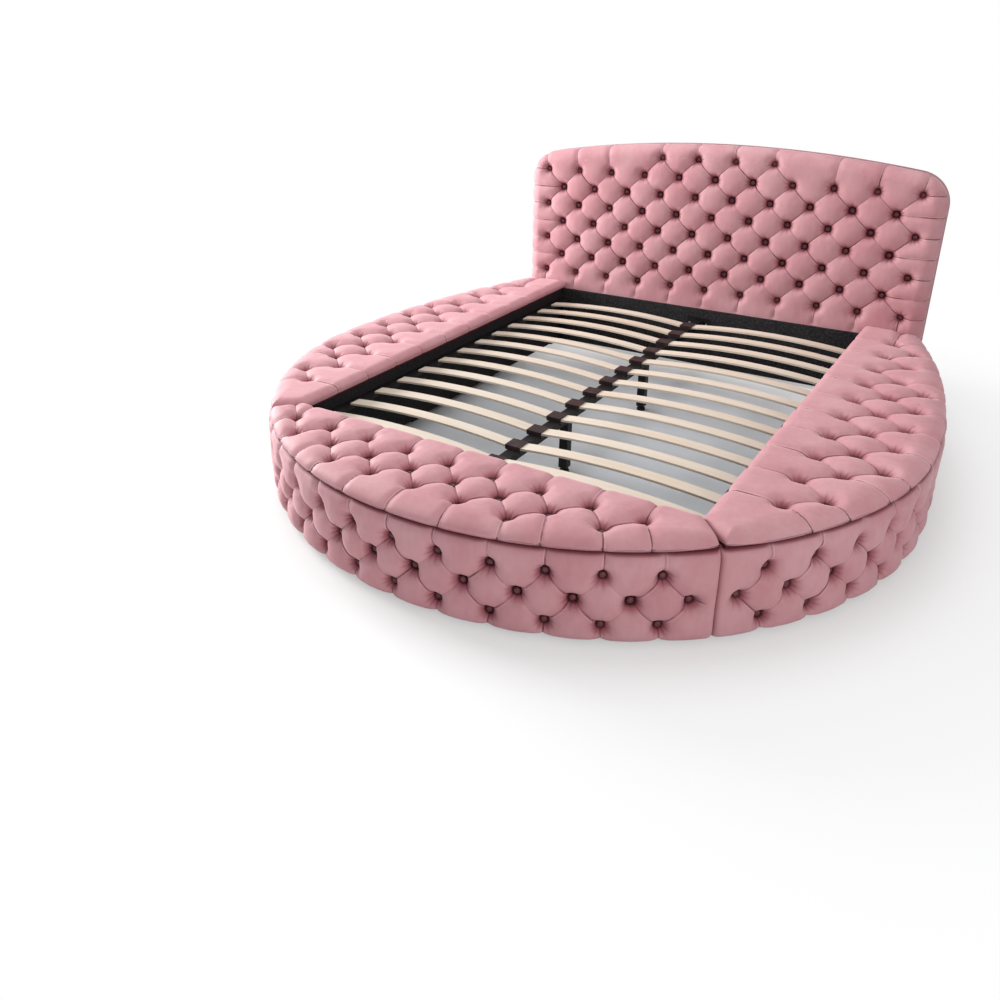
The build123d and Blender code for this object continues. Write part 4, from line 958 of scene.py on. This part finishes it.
class Finish:
    """One material, and the nodes that make it."""

    def __init__(self, name, **shader):
        self.material = bpy.data.materials.new(name)
        self.material.use_nodes = True
        self.tree = self.material.node_tree
        self.shader = self.tree.nodes["Principled BSDF"]
        for socket, value in shader.items():
            self.shader.inputs[socket.replace("_", " ")].default_value = value

    def add(self, kind, settings=None, inputs=None, output=0):
        """Adds a node: its settings first, then the values or links of its sockets."""
        node = self.tree.nodes.new(kind)
        for setting, value in (settings or {}).items():
            if setting == "stops":
                ramp = node.color_ramp.elements
                while len(ramp) < len(value):
                    ramp.new(1)
                for stop, (place, colour) in zip(ramp, value):
                    stop.position, stop.color = place, (*colour, 1)
            else:
                setattr(node, setting, value)
        for socket, value in (inputs or {}).items():
            self.feed(node.inputs[socket], value)
        return Signal(self, node.outputs[output])

    def feed(self, socket, value):
        """Links a signal to a socket, or sets its value."""
        if isinstance(value, Signal):
            self.tree.links.new(value.socket, socket)
        elif isinstance(value, tuple) and len(value) == 3 and socket.type == "RGBA":
            socket.default_value = (*value, 1)
        else:
            socket.default_value = value

    def place(self):
        """The place on the object, which is the place in the bed's frame, in metres."""
        return self.add("ShaderNodeTexCoord", output="Object")

    def noise(self, scale, detail=2.0, stretch=(1, 1, 1), rough=0.5):
        """Soft noise, finer with a larger scale, drawn out by a stretch."""
        where = self.add("ShaderNodeMapping", {}, {"Vector": self.place(), "Scale": stretch})
        inputs = {"Vector": where, "Scale": scale, "Detail": detail, "Roughness": rough}
        return self.add("ShaderNodeTexNoise", {}, inputs)

    def blend(self, share, first, second):
        """The second colour blended over the first by its share."""
        return self.add("ShaderNodeMix", {"data_type": "RGBA"}, {0: share, 6: first, 7: second}, 2)

    def bump(self, height, distance, strength):
        """A bump of the given height in metres."""
        inputs = {"Height": height, "Distance": distance, "Strength": strength}
        return self.add("ShaderNodeBump", {}, inputs)

    def finish(self, **sockets):
        """Feeds the shader and gives the material back."""
        for socket, value in sockets.items():
            self.feed(self.shader.inputs[socket.replace("_", " ")], value)
        return self.material


def dress(things, material):
    """Gives every object the material."""
    for thing in things:
        thing.data.materials.clear()
        thing.data.materials.append(material)


# %% [markdown]
# ## Velvet
#
# Velvet is a dense cut pile. Seen along the pile it is pale, seen into the pile it is deep, so
# each pillow has a light rim and a rich middle, and the pits go wine-dark because light can't get
# out of them. The pale rim comes from the shader's sheen and the soft patches from pile that hands
# have brushed both ways. The wine-dark pits are painted shade, read from the depth that each mesh
# carries, and so are the darker bands by the seams, the fine crease lines and the folds fanned
# round the buttons; the pale edge beside each crease is a painted highlight.

# %% Velvet of the pads
def velvet(name, pale, rich, flush, shade, pit, fan_strength):
    """Buttoned velvet: brushed patches, with painted shade in the pits, by the seams, along the crease lines
    and in the folds fanned round the buttons, and a painted highlight beside each crease.
    """
    cloth = Finish(name, Sheen_Weight=0.3, Sheen_Roughness=0.4, Sheen_Tint=(1.0, 0.76, 0.81, 1),
                   Specular_IOR_Level=0.2)
    # This share is each place's depth, with the seam bands added: it paints shade into the pits and by the
    # seams.
    sunk = cloth.add("ShaderNodeAttribute", {"attribute_name": "sunk_share"}, output="Fac")
    button = cloth.add("ShaderNodeAttribute", {"attribute_name": "button_mark"}, output="Vector")
    crease = cloth.add("ShaderNodeAttribute", {"attribute_name": "crease_mark"}, output="Vector")
    across, upward, close = (cloth.add("ShaderNodeSeparateXYZ", {}, {0: button}, k) for k in range(3))
    beside, edge = (cloth.add("ShaderNodeSeparateXYZ", {}, {0: crease}, k) for k in range(2))
    turn = cloth.add("ShaderNodeMath", {"operation": "ARCTAN2"}, {0: upward, 1: across})
    swirl = turn * 10.0 + cloth.noise(9.0, 1.0) * 9.0
    spokes = cloth.add("ShaderNodeMath", {"operation": "SINE"}, {0: swirl})
    far = (across * across + upward * upward) ** 0.5
    # The folds fanned round each button are a bump and also painted shade in their creases.
    fan_folds_and_shade = (spokes * 0.5 + 0.5) ** 2.0 * close * far.smoothed(9.0, 15.0)
    fan_folds_and_shade = fan_folds_and_shade * cloth.noise(21.0, 1.0).smoothed(0.3, 0.6)
    # Painted shade: a fine dark line along each crease, broken in places, that also cuts into the bump.
    # Painted highlight: a pale band just beside it, that also raises a small ridge.
    groove_and_shade = (1 - (beside * beside).smoothed(0.0, 7.0)) * edge
    lip_ridge_and_highlight = (1 - ((beside - 4.2) * (beside - 4.2)).smoothed(0.0, 9.0)) * edge
    patches = cloth.noise(7.0, 3.0).smoothed(0.3, 0.7)
    streaks = cloth.noise(55.0, 3.0, stretch=(1, 1, 0.35)).smoothed(0.3, 0.7)
    brushed = cloth.noise(3.2, 2.0).smoothed(0.35, 0.7)
    nap = cloth.noise(900.0, 2.0)
    broken = cloth.noise(13.0, 2.0).smoothed(0.42, 0.6)
    colour = cloth.blend(patches * 0.35 + streaks * 0.15 + lip_ridge_and_highlight * 0.4, rich, pale)
    colour = cloth.blend(brushed * 0.16, colour, flush)
    colour = cloth.blend(nap.smoothed(0.3, 0.7) * 0.12, colour, rich)
    # Painted shade: rose, then wine-dark, in the pits and by the seams.
    colour = cloth.blend(sunk.smoothed(0.28, 0.74) * 0.78, colour, flush)
    colour = cloth.blend(fan_folds_and_shade * 0.3 + groove_and_shade * (broken * 0.5 + 0.12), colour, shade)
    colour = cloth.blend(sunk.smoothed(0.66, 0.98), colour, pit)
    height = fan_folds_and_shade * 2.0 - groove_and_shade * (broken * 2.2 + 0.6) + lip_ridge_and_highlight * 0.8 + cloth.noise(38.0, 2.0) * 0.7 + nap * 0.1
    normal = cloth.bump(height, 0.0012, fan_strength)
    rough = 0.68 - patches * 0.12
    return cloth.finish(Base_Color=colour, Roughness=rough, Normal=normal)


# flush, shade and pit are colours of painted shade: flush and pit for the pits and seams, shade for the
# crease lines and the folds round the buttons; flush also tints the brushed patches.
pad_velvet = velvet("pink_velvet", (0.62, 0.375, 0.395), (0.49, 0.23, 0.255), (0.34, 0.085, 0.11),
                    (0.20, 0.04, 0.055), (0.045, 0.004, 0.008), 0.8)
velvet_pieces = [*covers.values(), *lids, headboard]
dress(velvet_pieces, pad_velvet)

# %% Velvet of the buttons and of the flat back
button_cloth = Finish("button_velvet", Sheen_Weight=0.4, Sheen_Roughness=0.35, Sheen_Tint=(1.0, 0.8, 0.83, 1))
weave = button_cloth.noise(700.0, 2.0)
shade = button_cloth.blend(weave.smoothed(0.3, 0.7), (0.085, 0.014, 0.02), (0.16, 0.035, 0.045))
rough, normal = 0.5 + weave * 0.1, button_cloth.bump(weave, 0.0004, 0.5)
button_velvet = button_cloth.finish(Base_Color=shade, Roughness=rough, Normal=normal)
dress(button_pieces, button_velvet)

flat_cloth = Finish("back_velvet", Sheen_Weight=0.5, Sheen_Roughness=0.4, Sheen_Tint=(1.0, 0.86, 0.89, 1))
brushed = flat_cloth.noise(5.0, 3.0, stretch=(1, 1, 0.4)).smoothed(0.35, 0.65)
fine = flat_cloth.noise(800.0, 2.0)
shade = flat_cloth.blend(brushed * 0.6 + fine * 0.3, (0.38, 0.17, 0.19), (0.50, 0.27, 0.29))
rough, normal = 0.6 + fine * 0.1, flat_cloth.bump(fine, 0.0003, 0.6)
back_velvet = flat_cloth.finish(Base_Color=shade, Roughness=rough, Normal=normal)
dress([back_cloth], back_velvet)
print("velvet on", len(velvet_pieces) + len(button_pieces) + 1, "pieces")

# %% [markdown]
# ## Wood, steel, plastic and lining
#
# The rigid pieces keep their CAD shape. Each gets a finish with the grain or texture of the real
# one at its real scale, and the slats and clips get small rounded edges from a bevel.


# %% Wood
def wood(name, light, dark, grain, ring_scale, gloss):
    """Straight-grained wood. grain gives the stretch along x, y and z."""
    timber = Finish(name, Coat_Weight=gloss, Coat_Roughness=0.35)
    fibre = timber.noise(46.0, 6.0, stretch=grain, rough=0.6)
    growth = timber.noise(ring_scale, 3.0, stretch=grain)
    pores = timber.noise(420.0, 2.0, stretch=grain)
    share = fibre.smoothed(0.32, 0.72) * 0.6 + growth.smoothed(0.4, 0.62) * 0.4
    colour = timber.blend(share, light, dark)
    colour = timber.blend(pores.smoothed(0.62, 0.7) * 0.35, colour, dark)
    normal = timber.bump(fibre + pores * 0.5, 0.0004, 0.35)
    return timber.finish(Base_Color=colour, Roughness=0.42 + fibre * 0.16, Normal=normal)


along_x, along_y = (0.06, 1, 1), (1, 0.06, 1)
birch = wood("birch_slats", (0.665, 0.59, 0.505), (0.60, 0.485, 0.37), along_x, 9.0, 0.15)
pine = wood("planed_pine", (0.80, 0.62, 0.38), (0.62, 0.42, 0.22), along_x, 14.0, 0.0)
plywood = wood("plywood", (0.74, 0.58, 0.38), (0.58, 0.41, 0.24), along_y, 7.0, 0.0)

# %% Black lining cloth, and the lid boards' painted seam shade
lining = Finish("black_lining", Roughness=0.95, Specular_IOR_Level=0.15)
thread_waves = {"Vector": lining.place(), "Scale": 260.0, "Distortion": 1.5}
threads = lining.add("ShaderNodeTexWave", {"bands_direction": "Z"}, thread_waves)
fluff = lining.noise(130.0, 3.0)
shade = lining.blend(fluff.smoothed(0.3, 0.75), (0.012, 0.011, 0.012), (0.034, 0.031, 0.033))
rough, normal = 0.85 + fluff * 0.1, lining.bump(threads * 0.5 + fluff, 0.0005, 0.6)
black_lining = lining.finish(Base_Color=shade, Roughness=rough, Normal=normal)

# Painted shade: the lid boards show in the seam under each lid, so they are coloured dark wine to stand for
# the seam's shade.
seam_shade_cloth = Finish("seam_shade_lining", Roughness=0.9, Specular_IOR_Level=0.1)
weave = seam_shade_cloth.noise(600.0, 2.0)
shade = seam_shade_cloth.blend(weave, (0.05, 0.006, 0.010), (0.12, 0.022, 0.032))
seam_shade_lining = seam_shade_cloth.finish(Base_Color=shade, Normal=seam_shade_cloth.bump(weave, 0.0004, 0.5))


# %% Coated steel, plastic and plated steel
def moulded(name, dark, light, rough, grain, metal=0.0):
    """A fine-textured dark coat or moulding with slight wear."""
    coat = Finish(name, Metallic=metal, Specular_IOR_Level=0.5 if metal else 0.22)
    texture = coat.noise(grain, 3.0)
    wear = coat.noise(24.0, 4.0).smoothed(0.5, 0.75)
    shade = coat.blend(wear * 0.6 + texture * 0.3, dark, light)
    normal = coat.bump(texture, 0.0003, 0.45)
    return coat.finish(Base_Color=shade, Roughness=rough + wear * 0.12, Normal=normal)


black_steel = moulded("black_powder_coat", (0.006, 0.005, 0.005), (0.018, 0.015, 0.014), 0.45, 900.0)
black_plastic = moulded("black_plastic", (0.022, 0.013, 0.013), (0.075, 0.045, 0.043), 0.42, 1200.0)
foot_plastic = moulded("foot_plastic", (0.010, 0.010, 0.011), (0.035, 0.033, 0.032), 0.5, 800.0)
zinc = moulded("zinc_plate", (0.50, 0.50, 0.49), (0.70, 0.70, 0.68), 0.32, 300.0, metal=1.0)

# %% Dress the CAD nodes
finishes = {
    "plywood": plywood, "black_cloth": black_lining, "pine": pine, "birch": birch,
    "black_steel": black_steel, "black_plastic": black_plastic, "foot_plastic": foot_plastic,
    "zinc": zinc, "velvet": pad_velvet, "button_velvet": button_velvet,
}
other_finishes = {
    "headboard_frame": back_velvet, "headboard_panel": back_velvet, "head_rail_cleats": black_steel,
    "foot_bench_base": black_lining, "left_bench_base": black_lining, "right_bench_base": black_lining,
    # The lid boards carry the dark wine of the painted seam shade.
    "foot_lid_board": seam_shade_lining, "left_lid_board": seam_shade_lining, "right_lid_board": seam_shade_lining,
}
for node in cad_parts.values():
    for seat in node.material_slots:
        seat.material = finishes[seat.material.name]
for name, material in other_finishes.items():
    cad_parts[name].material_slots[0].material = material

# %% Round the edges that show
edge_roundings = {
    "left_slats": 0.0015, "right_slats": 0.0015,
    "centre_clips": 0.003, "centre_beam": 0.002, "head_rail": 0.003,
}
for name, width in edge_roundings.items():
    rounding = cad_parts[name].modifiers.new("rounding", "BEVEL")
    rounding.width, rounding.segments = width, 3
    rounding.limit_method, rounding.angle_limit = "ANGLE", radians(40)
    rounding.harden_normals = True
print("finishes:", sorted(finishes))

# %% [markdown]
# ## Floor, light and camera
#
# A white studio: a pale floor that only shows through its soft shadows, with painted shade in a
# blue-grey patch under and round the bed, and further out a white glow for the camera; a broad
# lamp from the left of the camera with two weaker ones overhead and on the right, and an even white
# surround. The lamps together are worth about one full white, so a colour renders as it is written.
# The camera stands where the photographer stood.

# %% Floor
floor_mesh = bpy.data.meshes.new("studio_floor")
wide = 14.0
floor_corners = [(-wide, -wide, 0), (wide, -wide, 0), (wide, wide, 0), (-wide, wide, 0)]
floor_mesh.from_pydata(floor_corners, [], [(0, 1, 2, 3)])
floor = bpy.data.objects.new("studio_floor", floor_mesh)
scene.collection.objects.link(floor)
ground = Finish("white_floor", Roughness=0.9, Specular_IOR_Level=0.1)
spot = ground.add("ShaderNodeNewGeometry", output="Position")
x, y = (ground.add("ShaderNodeSeparateXYZ", {}, {0: spot}, k) for k in (0, 1))
away = (x * x + y * y) ** 0.5
outside = away.smoothed(0.9, 1.35)
# Painted shade: the floor is blue-grey under and round the bed and pale further out.
ground.feed(ground.shader.inputs["Base Color"], ground.blend(outside, (0.60, 0.63, 0.66), (0.86, 0.87, 0.87)))
glow = ground.add("ShaderNodeEmission", {}, {"Color": (1, 1, 1), "Strength": 1.0})
seen = ground.add("ShaderNodeLightPath", output="Is Camera Ray")
seen = seen * (outside * 0.45 + away.smoothed(1.25, 2.6) * 0.55)
matt = Signal(ground, ground.shader.outputs[0])
surface = ground.add("ShaderNodeMixShader", {}, {0: seen, 1: matt, 2: glow})
ground.feed(ground.tree.nodes["Material Output"].inputs["Surface"], surface)
dress([floor], ground.material)

# %% Surround
world = bpy.data.worlds.new("white_surround")
scene.world = world
world.use_nodes = True
sky = world.node_tree.nodes
backdrop = sky["Background"]
backdrop.inputs["Color"].default_value = (1, 1, 1, 1)
backdrop.inputs["Strength"].default_value = 0.42
plain = sky.new("ShaderNodeBackground")
plain.inputs["Color"].default_value = (1, 1, 1, 1)
plain.inputs["Strength"].default_value = 1.0
path = sky.new("ShaderNodeLightPath")
choose = sky.new("ShaderNodeMixShader")
link = world.node_tree.links.new
link(path.outputs["Is Camera Ray"], choose.inputs[0])
link(backdrop.outputs[0], choose.inputs[1])
link(plain.outputs[0], choose.inputs[2])
link(choose.outputs[0], sky["World Output"].inputs["Surface"])


# %% Lamps
def lamp(name, place, aim, size, power):
    """A square soft lamp."""
    data = bpy.data.lights.new(name, "AREA")
    data.shape, data.size, data.energy = "SQUARE", size, power
    thing = bpy.data.objects.new(name, data)
    thing.location = place
    thing.rotation_euler = (Vector(aim) - Vector(place)).to_track_quat("-Z", "Y").to_euler()
    scene.collection.objects.link(thing)


lamp("broad_left", (-4.9, -0.2, 1.7), (0, -0.2, 0.2), 2.2, 412)
lamp("overhead", (-0.5, 0.5, 4.6), (0, -0.2, 0), 2.6, 108)
lamp("soft_right", (4.2, -3.2, 2.0), (0.3, -0.6, 0.2), 2.2, 76)

# %% Camera
lens = bpy.data.cameras.new("photograph")
lens.sensor_width, lens.lens = 36.0, 31.414
lens.shift_x, lens.shift_y = 0.0512, -0.0874
camera = bpy.data.objects.new("photograph", lens)
azimuth, pitch, tilt = radians(35.423), radians(23.151), radians(-1.060)
forward = Vector((-sin(azimuth) * cos(pitch), cos(azimuth) * cos(pitch), -sin(pitch)))
right = Vector((cos(azimuth), sin(azimuth), 0))
above = right.cross(forward)
level, raised = right * cos(tilt) + above * sin(tilt), above * cos(tilt) - right * sin(tilt)
turned = Matrix((level, raised, -forward)).transposed().to_4x4()
turned.translation = (1.4212, -3.0145, 1.5822)
camera.matrix_world = turned
scene.collection.objects.link(camera)
scene.camera = camera
scene.view_settings.view_transform = "Standard"
